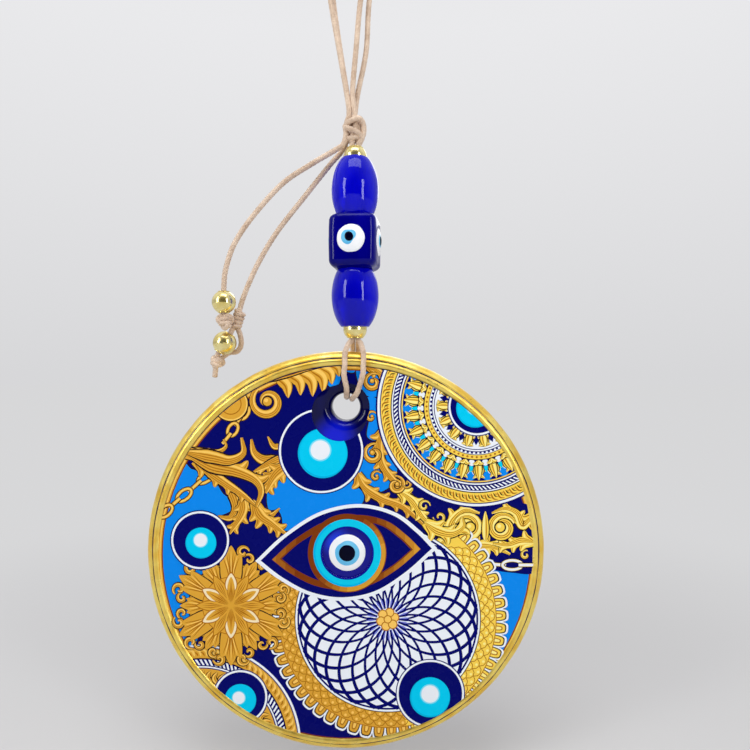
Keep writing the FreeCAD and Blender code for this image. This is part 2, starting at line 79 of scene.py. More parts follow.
RIM_LOW, RIM_HIGH = corners("gilded_edge")
RIM_RADIUS = RIM_HIGH.x
THICKNESS = -RIM_LOW.y
FACE_LOW, FACE_HIGH = corners("printed_face")
FACE_RADIUS = (FACE_HIGH.x - FACE_LOW.x) / 2
FACE_MIDDLE = middle("printed_face")
FILM = FACE_HIGH.y - FACE_LOW.y
BAR = middle("lower_oval_bead")
EYE = middle("eye_white")
KNOT_LOW, KNOT_HIGH = corners("top_knot")

# Sizes that a box doesn't tell: the disc's edges and hole, the cube bead, the bores and the cord.
FRONT_ROUND = 2.5
BACK_ROUND = 0.95
HOLE = Vector((0, 0, 36.0))
THROAT = 3.5
FRONT_LIP = 2.5
BACK_LIP = 1.5
CUBE_HALF = 6.0
CUBE_TURN = math.radians(-8.4)
BORE = 1.8
TAIL_BORE = 1.2
INNER_TAIL_LEAN = math.radians(30)
CORD = 0.7
STRAND = 0.73  # from the bar's middle to each of its four strands, sideways and in depth
CLEAR = CORD + 0.35  # from a surface to the middle of a cord that lies on it


# ---- meshes -----------------------------------------------------------------------------------


class Mesh:
    """Points, in millimetres, and faces gathered for one piece."""

    def __init__(self):
        self.points = []
        self.faces = []
        self.slots = []

    def loft(self, rings, closed=False, slot=0, caps=False):
        """Skin over rings of equal length; closed joins the last ring to the first."""
        base = len(self.points)
        count = len(rings[0])
        for ring in rings:
            self.points.extend(ring)
        for i in range(len(rings) if closed else len(rings) - 1):
            one = base + i * count
            two = base + (i + 1) % len(rings) * count
            for k in range(count):
                after = (k + 1) % count
                self.faces.append((one + k, one + after, two + after, two + k))
        if caps:
            last = base + (len(rings) - 1) * count
            self.faces.append(tuple(range(base + count - 1, base - 1, -1)))
            self.faces.append(tuple(range(last, last + count)))
        self.slots += [slot] * (len(self.faces) - len(self.slots))

    def piece(self, name, body, slot, materials, node=None, smooth=35):
        """Makes the piece, in place of a CAD node, and puts it on a body if one is given."""
        mesh = bpy.data.meshes.new(name)
        mesh.from_pydata([Vector(p) * MM for p in self.points], [], self.faces)
        for material in materials:
            mesh.materials.append(material)
        mesh.polygons.foreach_set("material_index", self.slots)
        mesh.update()
        if smooth:
            mesh.shade_smooth()
            mesh.set_sharp_from_angle(angle=math.radians(smooth))
        piece = bpy.data.objects.new(name, mesh)
        bpy.context.scene.collection.objects.link(piece)
        if body:
            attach(piece, body)
        if node:
            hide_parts(node)
        return piece


def circle(centre, radius, across, along, count):
    """A ring of points about a centre in the plane of two directions."""
    ring = []
    for k in range(count):
        turn = 2 * math.pi * k / count
        ring.append(centre + across * (radius * math.cos(turn)) + along * (radius * math.sin(turn)))
    return ring


def handmade(ring, amount, scale, seed):
    """Points pushed about a little, as glass and metal worked by hand are."""
    moved = []
    for point in ring:
        shift = noise.noise_vector(point * scale + Vector((seed, seed, seed)))
        moved.append(point + shift * amount)
    return moved


def arc(centre, radius, start, end, steps):
    """(out, up) points on an arc, angles in degrees."""
    return [around(centre, radius, start + (end - start) * k / steps) for k in range(steps + 1)]


TIP = 0.001  # the radius left at a pole, so that its faces keep an area


def turned(profile, centre, axis, count, wobble, seed):
    """Rings of a turned shape. profile is (radius, height along the axis)."""
    across = axis.orthogonal().normalized()
    along = axis.cross(across)
    rings = []
    for radius, height in profile:
        ring = circle(centre + axis * height, max(radius, TIP), across, along, count)
        rings.append(handmade(ring, wobble, 0.35, seed))
    return rings


def smooth_path(points, step, closed=False):
    """Evenly spaced points on a smooth curve through the given ones."""
    points = [Vector(p) for p in points]
    size = len(points)
    fine = []
    for i in range(size if closed else size - 1):
        if closed:
            p0, p1, p2, p3 = (points[(i + k) % size] for k in (-1, 0, 1, 2))
        else:
            p1, p2 = points[i], points[i + 1]
            p0 = points[i - 1] if i else p1 * 2 - p2
            p3 = points[i + 2] if i + 2 < size else p2 * 2 - p1
        parts = max(2, math.ceil((p2 - p1).length / step))
        for k in range(parts):
            t = k / parts
            fine.append(
                (p1 * 2 + (p2 - p0) * t + (p0 * 2 - p1 * 5 + p2 * 4 - p3) * t ** 2
                 + (p1 * 3 - p0 - p2 * 3 + p3) * t ** 3) / 2
            )
    if not closed:
        fine.append(points[-1])
    return fine


# A laid cord: plies of yarn twisted round one another.
CORD_SIDES = 18
PLIES = 3
TURNS_PER_MM = 0.28


def cord_rings(path, radius, closed):
    """Rings of a laid cord along a path."""
    across = (path[1] - path[0]).orthogonal().normalized()
    rings = []
    run = 0.0
    size = len(path)
    for i, point in enumerate(path):
        before = path[i - 1] if i or closed else point
        after = path[(i + 1) % size] if i + 1 < size or closed else point
        ahead = (after - before).normalized()
        across = (across - ahead * across.dot(ahead)).normalized()
        side = ahead.cross(across)
        if i:
            run += (point - path[i - 1]).length
        lay = 2 * math.pi * TURNS_PER_MM * run
        ring = []
        for k in range(CORD_SIDES):
            turn = 2 * math.pi * k / CORD_SIDES
            bulge = abs(math.cos(PLIES * (turn - lay) / 2))
            reach = radius * (0.88 + 0.13 * bulge)
            ring.append(point + (across * math.cos(turn) + side * math.sin(turn)) * reach)
        rings.append(ring)
    return rings


def lay_cord(mesh, points, radius=CORD, closed=False):
    """Adds a laid cord with closed, slightly drawn-in ends to a mesh."""
    path = smooth_path(points, 0.3, closed)
    rings = cord_rings(path, radius, closed)
    if not closed:
        ends = []
        for end, inner in ((0, 1), (-1, -2)):
            out = (path[end] - path[inner]).normalized() * radius * 0.35
            ends.append([path[end] + (p - path[end]) * 0.6 + out for p in rings[end]])
        rings = [ends[0], *rings, ends[1]]
    mesh.loft(rings, closed, caps=not closed)


# ---- materials --------------------------------------------------------------------------------


def srgb(red, green, blue):
    """A linear colour from screen values."""
    linear = []
    for value in (red, green, blue):
        share = value / 255
        linear.append(share / 12.92 if share <= 0.04045 else ((share + 0.055) / 1.055) ** 2.4)
    return (*linear, 1.0)


def ramp(tree, value, *stops):
    """A colour ramp over a value; stops are (place, colour)."""
    node = tree.nodes.new("ShaderNodeValToRGB")
    elements = node.color_ramp.elements
    while len(elements) < len(stops):
        elements.new(0.5)
    for element, (place, colour) in zip(elements, stops):
        element.position = place
        element.color = colour
    tree.links.new(value, node.inputs["Fac"])
    return node.outputs["Color"]


def spread(tree, value, old, new, kind="LINEAR"):
    """A value carried from one range to another."""
    node = tree.nodes.new("ShaderNodeMapRange")
    node.interpolation_type = kind
    for title, number in zip(("From Min", "From Max", "To Min", "To Max"), (*old, *new)):
        node.inputs[title].default_value = number
    tree.links.new(value, node.inputs["Value"])
    return node.outputs["Result"]


def mixed(tree, share, one, two, blend="MIX", data="RGBA"):
    """Two colours, or two numbers, in one; each input is a plain value or comes from a node."""
    node = tree.nodes.new("ShaderNodeMix")
    node.data_type = data
    node.blend_type = blend
    first, second, result = (6, 7, 2) if data == "RGBA" else (2, 3, 0)
    for place, value in ((0, share), (first, one), (second, two)):
        if isinstance(value, bpy.types.NodeSocket):
            tree.links.new(value, node.inputs[place])
        else:
            node.inputs[place].default_value = value
    return node.outputs[result]


class Look:
    """A Principled material with helpers for its nodes."""

    def __init__(self, name, **inputs):
        self.material = bpy.data.materials.new(name)
        self.material.use_nodes = True
        self.tree = self.material.node_tree
        self.shader = self.tree.nodes["Principled BSDF"]
        for title, value in inputs.items():
            self.shader.inputs[title.replace("_", " ")].default_value = value
        self.place = self.tree.nodes.new("ShaderNodeTexCoord").outputs["Object"]

    def drive(self, title, value):
        """Feeds one of the shader's inputs from a node."""
        self.tree.links.new(value, self.shader.inputs[title])

    def noise(self, size, detail=3.0, stretch=(1, 1, 1)):
        """A texture whose features are about `size` millimetres."""
        mapping = self.tree.nodes.new("ShaderNodeMapping")
        mapping.inputs["Scale"].default_value = stretch
        self.tree.links.new(self.place, mapping.inputs["Vector"])
        texture = self.tree.nodes.new("ShaderNodeTexNoise")
        texture.inputs["Scale"].default_value = 1 / (size * MM)
        texture.inputs["Detail"].default_value = detail
        self.tree.links.new(mapping.outputs["Vector"], texture.inputs["Vector"])
        return texture.outputs[0]

    def glow(self, under, place, colour, near, far):
        """A colour that fades into the one under it away from a place in millimetres."""
        reach = self.tree.nodes.new("ShaderNodeVectorMath")
        reach.operation = "DISTANCE"
        reach.inputs[1].default_value = Vector(place) * MM
        self.tree.links.new(self.place, reach.inputs[0])
        fade = spread(self.tree, reach.outputs["Value"], (near * MM, far * MM), (1, 0), "SMOOTHSTEP")
        return mixed(self.tree, fade, under, colour)

    def vary(self, title, value, low, high):
        """Drives an input between two numbers by a noise, which lies mostly from 0.3 to 0.7."""
        self.drive(title, spread(self.tree, value, (0.3, 0.7), (low, high)))

    def bump(self, value, depth, under=None):
        """Adds relief `depth` millimetres deep, over the relief under it."""
        node = self.tree.nodes.new("ShaderNodeBump")
        node.inputs["Distance"].default_value = depth * MM
        self.tree.links.new(value, node.inputs["Height"])
        if under:
            self.tree.links.new(under, node.inputs["Normal"])
        self.drive("Normal", node.outputs["Normal"])
        return node.outputs["Normal"]


def glass_look(name, dark, light, clear, rough=0.04, gloss=0.1, glows=()):
    """Coloured glass with streaks, seeds and a fire-polished surface.

    Each glow is (place, colour, near, far): a colour that takes over near a place; it is painted light
    where it makes the glass brighter, as gathered light or a highlight would.
    """
    look = Look(name, Transmission_Weight=clear, IOR=1.5, Specular_IOR_Level=gloss,
                Coat_Weight=gloss, Coat_Roughness=0.02)
    streaks = look.noise(9.0, 4.0, stretch=(1, 1, 0.35))
    colour = ramp(look.tree, streaks, (0.3, dark), (0.7, light))
    for glow in glows:
        colour = look.glow(colour, *glow)
    look.drive("Base Color", colour)
    look.vary("Roughness", look.noise(2.5), rough * 0.5, rough * 2)
    waves = look.bump(look.noise(6.0, 2.0), 0.12)
    look.bump(look.noise(0.8, 2.0), 0.008, under=waves)
    return look.material


def gold_look(name, light, dark, rough):
    """Leaf or plated gold: warm and a little uneven."""
    look = Look(name, Metallic=0.92)
    look.drive("Base Color", ramp(look.tree, look.noise(4.5, 5.0), (0.35, dark), (0.6, light)))
    look.vary("Roughness", look.noise(1.6, 5.0), rough * 0.75, rough * 1.4)
    dents = look.bump(look.noise(3.0, 2.0), 0.05)
    look.bump(look.noise(0.5, 3.0), 0.006, under=dents)
    return look.material


def cord_look(name, light, dark):
    """Waxed cotton cord: fine fibres, dull lustre, darker and lighter at random in fibres and blotches."""
    look = Look(name, Sheen_Weight=0.3, Coat_Weight=0.15, Coat_Roughness=0.4)
    fibres = look.noise(0.25, 6.0, stretch=(2.2, 2.2, 0.8))
    blotches = look.noise(3.0, 3.0)
    both = mixed(look.tree, 0.45, fibres, blotches, data="FLOAT")
    look.drive("Base Color", ramp(look.tree, both, (0.32, dark), (0.62, light)))
    look.vary("Roughness", blotches, 0.55, 0.8)
    look.bump(fibres, 0.09)
    return look.material


def ink_look(name, colour):
    """A printed colour under clear gloss, with the slight orange peel of cast resin."""
    look = Look(name, Base_Color=colour, Specular_IOR_Level=0.05, Coat_Weight=0.02, Coat_Roughness=0.05)
    look.vary("Roughness", look.noise(2.0, 4.0), 0.16, 0.352)
    look.bump(look.noise(7.0, 3.0), 0.02)
    return look.material


INKS = {
    "navy": srgb(0, 4, 104),
    "cobalt": srgb(10, 10, 150),
    "sky": srgb(10, 138, 240),
    "cyan": srgb(0, 205, 245),
    "cyan_deep": srgb(0, 182, 232),
    "cyan_pale": srgb(130, 228, 250),
    "turquoise": srgb(8, 204, 238),
    "white": srgb(240, 245, 252),
    "cream": srgb(250, 232, 190),
    "lilac": srgb(120, 130, 225),
    "gold": srgb(224, 166, 56),
    "gold_light": srgb(252, 205, 100),
    "gold_pale": srgb(252, 214, 84),
    "gold_bright": srgb(255, 240, 146),
    "gold_dark": srgb(178, 112, 22),
    "brown": srgb(128, 58, 12),
    "amber": srgb(192, 116, 26),
    "outline": srgb(38, 20, 22),
}
LIT = {"gold": "gold_light", "gold_pale": "gold_bright", "cream": "white"}
# Six shades from brown to the gold of lit metal.
BROWN_TO_GOLD = [f"bronze_{k}" for k in range(6)]
for k, name in enumerate(BROWN_TO_GOLD):
    INKS[name] = srgb(128 + 18 * k, 56 + 20 * k, 10 + 8 * k)
INK = {name: ink_look("ink_" + name, colour) for name, colour in INKS.items()}

PAINTED_GLOWS_AND_TINT = (
    # Painted light: bright cobalt at the lower left of the hole's window, where light gathers in the glass.
    (Vector((-2.6, -THICKNESS, 28.4)), srgb(10, 26, 228), 1.0, 7.0),
    # The deep blue of the eye's own cobalt ring.
    (Vector((EYE.x, -THICKNESS, EYE.z)), srgb(6, 6, 150), 6.5, 8.5),
    # Painted highlight at the top left of the eye's cobalt ring.
    (Vector((EYE.x - 3.5, -THICKNESS, EYE.z + 3.5)), srgb(24, 60, 235), 0.5, 5.0),
)
GLASS = glass_look("cast_cobalt_glass", srgb(0, 0, 46), srgb(2, 4, 96), 0.2, glows=PAINTED_GLOWS_AND_TINT)
BEAD_GLASS = glass_look("cobalt_bead_glass", srgb(0, 0, 185), srgb(2, 2, 240), 0.3)
# Painted shade: dark, opaque glass on the beads' bore walls, for the dark band down their middle.
BORE_SHADE_GLASS = glass_look("bead_bore_painted_shade", srgb(0, 0, 40), srgb(0, 0, 66), 0.0, 0.5, 0.2)
CUBE_GLASS = glass_look("opaque_cobalt_glass", srgb(0, 0, 92), srgb(2, 0, 136), 0.0)
WHITE_GLASS = glass_look("white_glass", srgb(238, 242, 248), srgb(255, 255, 255), 0.0, 0.06)
BLUE_GLASS = glass_look("light_blue_glass", srgb(70, 170, 228), srgb(128, 212, 246), 0.0, 0.06)
DARK_GLASS = glass_look("dark_glass", srgb(0, 0, 10), srgb(0, 2, 36), 0.0, 0.05, 0.05)
GILDING = gold_look("gilding", srgb(255, 228, 120), srgb(244, 200, 78), 0.34)
BEAD_GOLD = gold_look("bead_gold", srgb(250, 238, 175), srgb(232, 208, 120), 0.2)
WAXED_CORD = cord_look("waxed_cord", srgb(238, 214, 190), srgb(176, 142, 112))


# ---- the disc ---------------------------------------------------------------------------------


def between(inner, outer, share, depth, count):
    """A ring part of the way from one circle to another; circles are (middle, radius)."""
    centre = inner[0].lerp(outer[0], share)
    radius = inner[1] + (outer[1] - inner[1]) * share
    return circle(centre - Y * depth, radius, X, Z, count)


def cast_disc():
    """The glass: flat back, rounded edge under the gilding, hole with rounded lips."""
    count = 192
    origin = Vector()
    under = THICKNESS - FILM
    edge = RIM_RADIUS - FILM
    rings = []
    for out, depth in arc((THROAT + BACK_LIP, BACK_LIP), BACK_LIP, 180, 270, 8):
        rings.append(circle(HOLE - Y * depth, out, X, Z, count))
    for share in (0.15, 0.4, 0.7, 0.9):
        ring = between((HOLE, THROAT + BACK_LIP), (origin, edge - BACK_ROUND), share, 0, count)
        rings.append(handmade(ring, 0.09, 0.12, 3))
    for out, depth in arc((edge - BACK_ROUND, BACK_ROUND), BACK_ROUND, 270, 360, 6):
        rings.append(circle(-Y * depth, out, X, Z, count))
    for out, depth in arc((edge - FRONT_ROUND, under - FRONT_ROUND), FRONT_ROUND, 0, 90, 10):
        rings.append(circle(-Y * depth, out, X, Z, count))
    for share in (0.9, 0.6, 0.3, 0.1):
        front = between((HOLE, THROAT + FRONT_LIP), (origin, edge - FRONT_ROUND), share, under, count)
        rings.append(front)
    for out, depth in arc((THROAT + FRONT_LIP, under - FRONT_LIP), FRONT_LIP, 90, 180, 12):
        rings.append(handmade(circle(HOLE - Y * depth, out, X, Z, count), 0.12, 0.25, 5))
    disc = Mesh()
    disc.loft(rings, closed=True)
    disc.piece("cast_disc", "disc", "cobalt_glass", [GLASS], "disc_glass")


def gilt_rim():
    """The gilding: a skin round the disc's edge, with a raised line inside a shallow groove."""
    front_out = RIM_RADIUS - FRONT_ROUND
    groove = RIM_RADIUS - 1.75
    front = [(FACE_RADIUS - 0.45, THICKNESS - FILM + 0.02), (FACE_RADIUS - 0.3, THICKNESS + 0.02)]
    front += arc((FACE_RADIUS + 0.45, THICKNESS - 0.55), 0.85, 120, 50, 8)
    front += [(groove - 0.1, THICKNESS - 0.34), (groove + 0.1, THICKNESS - 0.36)]
    front += arc((front_out, THICKNESS - FRONT_ROUND), FRONT_ROUND, 62, 0, 14)
    front += arc((RIM_RADIUS - BACK_ROUND, BACK_ROUND), BACK_ROUND, 0, -90, 6)
    inner = [
        (RIM_RADIUS - BACK_ROUND - 0.3, FILM + 0.02),
        (RIM_RADIUS - FILM - 0.02, BACK_ROUND + 0.4),
        (RIM_RADIUS - FILM - 0.02, THICKNESS - FRONT_ROUND - 0.3),
        (front_out - 0.2, THICKNESS - FILM - 0.5),
    ]
    rings = [handmade(circle(-Y * depth, out, X, Z, 256), 0.06, 0.3, 11) for out, depth in front]
    # Behind, the gilding was brushed on by hand and ends in an uneven line.
    for out, depth in ((RIM_RADIUS - BACK_ROUND - 1.1, -0.03), (RIM_RADIUS - BACK_ROUND - 1.3, 0.03)):
        ring = handmade(circle(Vector(), out, X, Z, 256), 0.7, 0.35, 17)
        rings.append([Vector((p.x, -depth, p.z)) for p in ring])
    rings += [handmade(circle(-Y * depth, out, X, Z, 256), 0.06, 0.3, 11) for out, depth in inner]
    skin = Mesh()
    skin.loft(rings, closed=True)
    skin.piece("gilt_rim", "disc", "gilding", [GILDING], "gilded_edge")


def dome(mesh, base, out, radius, height, floor, wobble, seed):
    """A low drop of glass on a surface at `base`, facing `out`."""
    profile = [(radius * 0.97, floor - 0.05), (radius, floor)]
    for k in range(1, 9):
        lean = math.radians(90 * k / 8)
        profile.append((radius * math.cos(lean), floor + (height - floor) * math.sin(lean)))
    mesh.loft(turned(profile, base, out, 72, wobble, seed), caps=True)


def glass_eye():
    """The eye fused into the disc's middle: white, light blue and dark drops of glass."""
    for node, name, material, slot in (
        ("eye_white", "fused_white", WHITE_GLASS, "white_glass"),
        ("eye_iris", "fused_light_blue", BLUE_GLASS, "light_blue_glass"),
        ("eye_pupil", "fused_pupil", DARK_GLASS, "dark_glass"),
    ):
        low, high = corners(node)
        heart = middle(node)
        drop = Mesh()
        base = Vector((heart.x, high.y, heart.z))
        dome(drop, base, -Y, (high.x - low.x) / 2, high.y - low.y, 0.0, 0.04, len(name))
        drop.piece(name, "disc", slot, [material], node)


# ---- the printed face -------------------------------------------------------------------------
# A place on the print is (right, up) from the disc's middle, in millimetres.

# The printed area and its clear windows, each (middle, radius).
FACE = ((FACE_MIDDLE.x, FACE_MIDDLE.z), FACE_RADIUS - 0.05)
LIP_WINDOW = ((-1.45, 34.5), 7.0)
MOUTH_WINDOW = ((HOLE.x, HOLE.z), 6.0)
EYE_WINDOW = ((EYE.x, EYE.z), 6.2)
GROUND = THICKNESS + 0.004  # depth of the film's front, where the inks start
LAYER = 0.0024  # thickness of a layer of ink
STEPS = 8  # depths that the shapes of one layer share out
CELL = 0.8  # size of a cell of the grid that counts the layers
SPECK = 1e-5  # shapes of less area are left out


def around(place, radius, turn):
    """The point at an angle in degrees, from the right, on a circle."""
    angle = math.radians(turn)
    return (place[0] + radius * math.cos(angle), place[1] + radius * math.sin(angle))


def polar(place, turn, *points):
    """Places about a middle, each given as (radius, degrees past `turn`)."""
    return [around(place, radius, turn + past) for radius, past in points]


def turns_over(start, sweep, count, offset=0.0):
    """Angles evenly spaced over a sweep."""
    return [start + sweep * (k + offset) / count for k in range(count)]


def ring_of(place, radius, count=64):
    """Places all round a circle."""
    return [around(place, radius, 360 * k / count) for k in range(count)]


def aside(p, ahead, along, left):
    """The place some lengths of `ahead` in front of p and some to the left."""
    return (p[0] + ahead[0] * along - ahead[1] * left, p[1] + ahead[1] * along + ahead[0] * left)


def heading(a, b):
    """The direction from one place to another, of length 1."""
    long = math.dist(a, b) or 1.0
    return ((b[0] - a[0]) / long, (b[1] - a[1]) / long)


def side_of(a, b, p):
    """Twice the area of a triangle, positive where p is to the left of a line from a to b."""
    return (b[0] - a[0]) * (p[1] - a[1]) - (b[1] - a[1]) * (p[0] - a[0])


def area(shape):
    """A convex shape's area, positive where its outline runs to the left."""
    return sum(side_of(shape[0], p, q) for p, q in zip(shape[1:], shape[2:])) / 2


def cut(shape, a, b, keep):
    """The part of a convex shape on one side of the line from a to b; keep is 1 for the left."""
    kept = []
    for k, p in enumerate(shape):
        q = shape[(k + 1) % len(shape)]
        here = side_of(a, b, p) * keep
        there = side_of(a, b, q) * keep
        if here >= 0:
            kept.append(p)
        if here * there < 0:
            share = here / (here - there)
            kept.append((p[0] + (q[0] - p[0]) * share, p[1] + (q[1] - p[1]) * share))
    return kept


def inside(shape, place, radius):
    """A convex shape's part inside a circle."""
    if all(math.dist(p, place) < radius * 0.998 for p in shape):
        return [shape]
    edge = ring_of(place, radius, 96)
    for k, a in enumerate(edge):
        shape = cut(shape, a, edge[(k + 1) % len(edge)], 1)
        if len(shape) < 3:
            return []
    return [shape]


def outside(shape, place, radius):
    """A convex shape's parts outside a circle."""
    for i in (0, 1):
        values = [p[i] for p in shape]
        if min(values) > place[i] + radius or max(values) < place[i] - radius:
            return [shape]
    parts = []
    edge = ring_of(place, radius, 48)
    for k, a in enumerate(edge):
        b = edge[(k + 1) % len(edge)]
        beyond = cut(shape, a, b, -1)
        if len(beyond) > 2:
            parts.append(beyond)
        shape = cut(shape, a, b, 1)
        if len(shape) < 3:
            break
    return parts


def cells_under(shape):
    """The cells of a grid on the face that a convex shape may touch."""
    rights = [p[0] / CELL for p in shape]
    ups = [p[1] / CELL for p in shape]
    for right in range(math.floor(min(rights)), math.floor(max(rights)) + 1):
        for up in range(math.floor(min(ups)), math.floor(max(ups)) + 1):
            yield right, up


# How wide a line is along its length, from 0 at its start to 1 at its end.
WIDTHS = {
    "even": lambda t: 1.0,
    "leaf": lambda t: math.sin(math.pi * min(1, max(0, t)) ** 0.75) ** 0.75,
    "horn": lambda t: min(1, (1 - t) * 1.4) * (0.45 + 0.55 * math.sin(math.pi * min(1, t * 1.3) / 1.3)),
    "scroll": lambda t: min(1.0, t / 0.3) ** 0.7 * (1 - 0.8 * max(0.0, (t - 0.3) / 0.7) ** 1.4),
    "lobe": lambda t: math.sqrt(max(0.0, 1 - max(0.0, (t - 0.25) / 0.75) ** 1.7)),
    "flare": lambda t: 0.5 + 0.5 * min(1, t * 1.6),
    "swell": lambda t: 0.35 + 0.65 * math.sin(math.pi * t),
}


class Print:
    """Printed areas that make up one piece, each layer a hair in front of what it lies on."""

    stack = {}  # the highest layer so far on each cell of the face

    def __init__(self, name):
        self.name = name
        self.mesh = Mesh()
        self.inks = []
        self.drawn = []

    def rise(self):
        """Lays what has been drawn since the last rise on top of all it covers.

        Shapes of one layer differ a little in depth, or they would fight where they meet.
        """
        cells = {cell for ink, parts in self.drawn for part in parts for cell in cells_under(part)}
        level = 1 + max((Print.stack.get(cell, 0) for cell in cells), default=0)
        for cell in cells:
            Print.stack[cell] = level
        for k, (ink, parts) in enumerate(self.drawn):
            if ink not in self.inks:
                self.inks.append(ink)
            depth = GROUND + (level + k % STEPS / STEPS) * LAYER
            for part in parts:
                base = len(self.mesh.points)
                self.mesh.points.extend(Vector((p[0], -depth, p[1])) for p in part)
                loop = range(base, base + len(part))
                self.mesh.faces.append(tuple(reversed(loop) if side_of(*part[:3]) < 0 else loop))
                self.mesh.slots.append(self.inks.index(ink))
        self.drawn = []

    def draw(self, ink, shapes):
        """Cuts convex shapes to the face and its windows, and keeps them for the next rise."""
        kept = []
        for shape in shapes:
            parts = inside(shape, *FACE)
            for window in (LIP_WINDOW, MOUTH_WINDOW, EYE_WINDOW):
                parts = [part for whole in parts for part in outside(whole, *window)]
            kept += [part for part in parts if abs(area(part)) > SPECK]
        self.drawn.append((ink, kept))

    def fill(self, ink, shape):
        """Prints a closed outline."""
        flat = [Vector((p[0], p[1], 0)) for p in shape]
        self.draw(ink, [[shape[k] for k in corner] for corner in tessellate_polygon([flat])])

    def strip(self, ink, left, right):
        """Prints the band between two lines of equal length."""
        shapes = []
        for k in range(len(left) - 1):
            shapes.append([left[k], left[k + 1], right[k + 1]])
            shapes.append([left[k], right[k + 1], right[k]])
        self.draw(ink, shapes)

    def circle(self, ink, place, radius, count=64):
        self.fill(ink, ring_of(place, radius, count))

    def discs(self, place, *discs, count=64):
        """Prints circles about one middle, each (ink, radius) on top of the last."""
        for ink, radius in discs:
            self.rise()
            self.circle(ink, place, radius, count)
        self.rise()

    def band(self, ink, place, inner, outer, start=0, end=360):
        """Prints a ring or part of one."""
        steps = max(4, math.ceil(abs(end - start) / 4))
        turns = [start + (end - start) * k / steps for k in range(steps + 1)]
        sides = [[around(place, radius, turn) for turn in turns] for radius in (outer, inner)]
        self.strip(ink, *sides)

    def bands(self, place, start, end, *bands):
        """Prints sectors about one middle, each (ink, radius) on top of the last."""
        for ink, radius in bands:
            self.rise()
            self.band(ink, place, 0, radius, start, end)
        self.rise()

    def line(self, ink, points, width, shape="even", shift=0.0):
        """Prints a line of a given width along points already on a smooth curve."""
        left, right = [], []
        last = len(points) - 1
        for k, p in enumerate(points):
            ahead = heading(points[max(k - 1, 0)], points[min(k + 1, last)])
            share = WIDTHS[shape](k / last)
            left.append(aside(p, ahead, 0, (shift + width / 2) * share))
            right.append(aside(p, ahead, 0, (shift - width / 2) * share))
        self.strip(ink, left, right)

    def finish(self):
        self.rise()
        self.mesh.piece(self.name, "disc", "printed_film", [INK[ink] for ink in self.inks], smooth=None)


def curve(points, step=0.5, closed=False):
    """A smooth line through places on the print."""
    fine = smooth_path([(p[0], p[1], 0) for p in points], step, closed)
    return [(p.x, p.y) for p in fine]


def spiral(place, start_radius, end_radius, start, end, steps=28):
    """Places winding about a centre."""
    points = []
    for k in range(steps + 1):
        t = k / steps
        radius = start_radius + (end_radius - start_radius) * t
        points.append(around(place, radius, start + (end - start) * t))
    return points


def gold_lines(art, runs, width, shape="swell", tone="gold"):
    """Relief-like gold strokes: dark edge, body, dark veins and a lit line along one side."""
    for strokes in (
        [("outline", width + 0.5, 0.0)],
        [(tone, width, 0.0)],
        [(LIT[tone], width * 0.3, width * 0.22), ("gold_dark", width * 0.09, -width * 0.04),
         ("gold_dark", width * 0.09, -width * 0.26)],
    ):
        art.rise()
        for points in runs:
            for ink, wide, shift in strokes:
                art.line(ink, points, wide, shape, shift)


def curl(art, place, radius, start, turn, width, tone="gold", ball=True):
    """A scroll winding in to an eye. turn is how far it winds, in degrees, signed."""
    gold_lines(art, [spiral(place, radius, radius * 0.22, start, start + turn)], width, tone=tone)
    if ball:
        eye = around(place, radius * 0.16, start + turn)
        art.discs(eye, ("outline", width * 0.66), (tone, width * 0.5), count=20)
        art.circle(LIT[tone], (eye[0] - width * 0.1, eye[1] + width * 0.12), width * 0.22, 12)


def leaves(art, stems, tone="gold"):
    """Leaves from root to tip, each (root, tip, width, bend to its left by a share of its length)."""
    spines = []
    for root, tip, width, bend in stems:
        heart = aside(root, (tip[0] - root[0], tip[1] - root[1]), 0.5, bend)
        spines.append((curve([root, heart, tip], 0.4), width))
    for strokes in (
        [("outline", 1.0, 0.5, 0.0)],
        [(tone, 1.0, 0.0, 0.0)],
        [(LIT[tone], 0.34, 0.0, 0.22), ("gold_dark", 0.14, 0.0, -0.14)],
    ):
        art.rise()
        for spine, width in spines:
            for ink, share, more, shift in strokes:
                art.line(ink, spine, width * share + more, "leaf", width * shift)


def acanthus(art, points, width, lobes=5, sides=(1, -1), tone="gold", spread=30):
    """A flowing scroll of leaf along points, with round lobes, veins and a lit side."""
    spine = curve(points, 0.35)
    last = len(spine) - 1
    places = []
    for lobe in range(lobes):
        t = 0.06 + 0.62 * lobe / max(1, lobes - 1)
        at = int(last * t)
        p, q = spine[at], spine[min(at + 2, last)]
        ahead = math.degrees(math.atan2(q[1] - p[1], q[0] - p[0]))
        size = width * (1.0 - 0.45 * t)
        for side in sides:
            tip = around(p, size * 1.35, ahead + side * (spread + 12))
            knee = around(p, size * 0.8, ahead + side * (spread - 6))
            places.append((curve([p, knee, tip], 0.3), size))
    art.rise()
    for lobe, size in places:
        art.line("outline", lobe, size * 0.62 + 0.5, "lobe")
    art.line("outline", spine, width * 0.8 + 0.5, "scroll")
    art.rise()
    for lobe, size in places:
        art.line(tone, lobe, size * 0.62, "lobe")
    art.rise()
    for lobe, size in places:
        art.line("gold_dark", lobe, size * 0.09, "leaf", -size * 0.16)
        art.line(LIT[tone], lobe, size * 0.16, "leaf", size * 0.1)
    art.rise()
    art.line(tone, spine, width * 0.72, "scroll")
    art.rise()
    for shift in (-0.24, -0.1, 0.06):
        art.line("gold_dark", spine, width * 0.06, "scroll", width * shift)
    art.line(LIT[tone], spine, width * 0.14, "scroll", width * 0.22)


def rope(art, place, inner, outer, start, sweep, dashes, lean, fill=0.5):
    """White slanting dashes round a ring."""
    wide = sweep / dashes * fill
    for turn in turns_over(start, sweep, dashes):
        dash = polar(place, turn, (inner, 0), (outer, lean), (outer, lean + wide), (inner, wide))
        art.fill("white", dash)


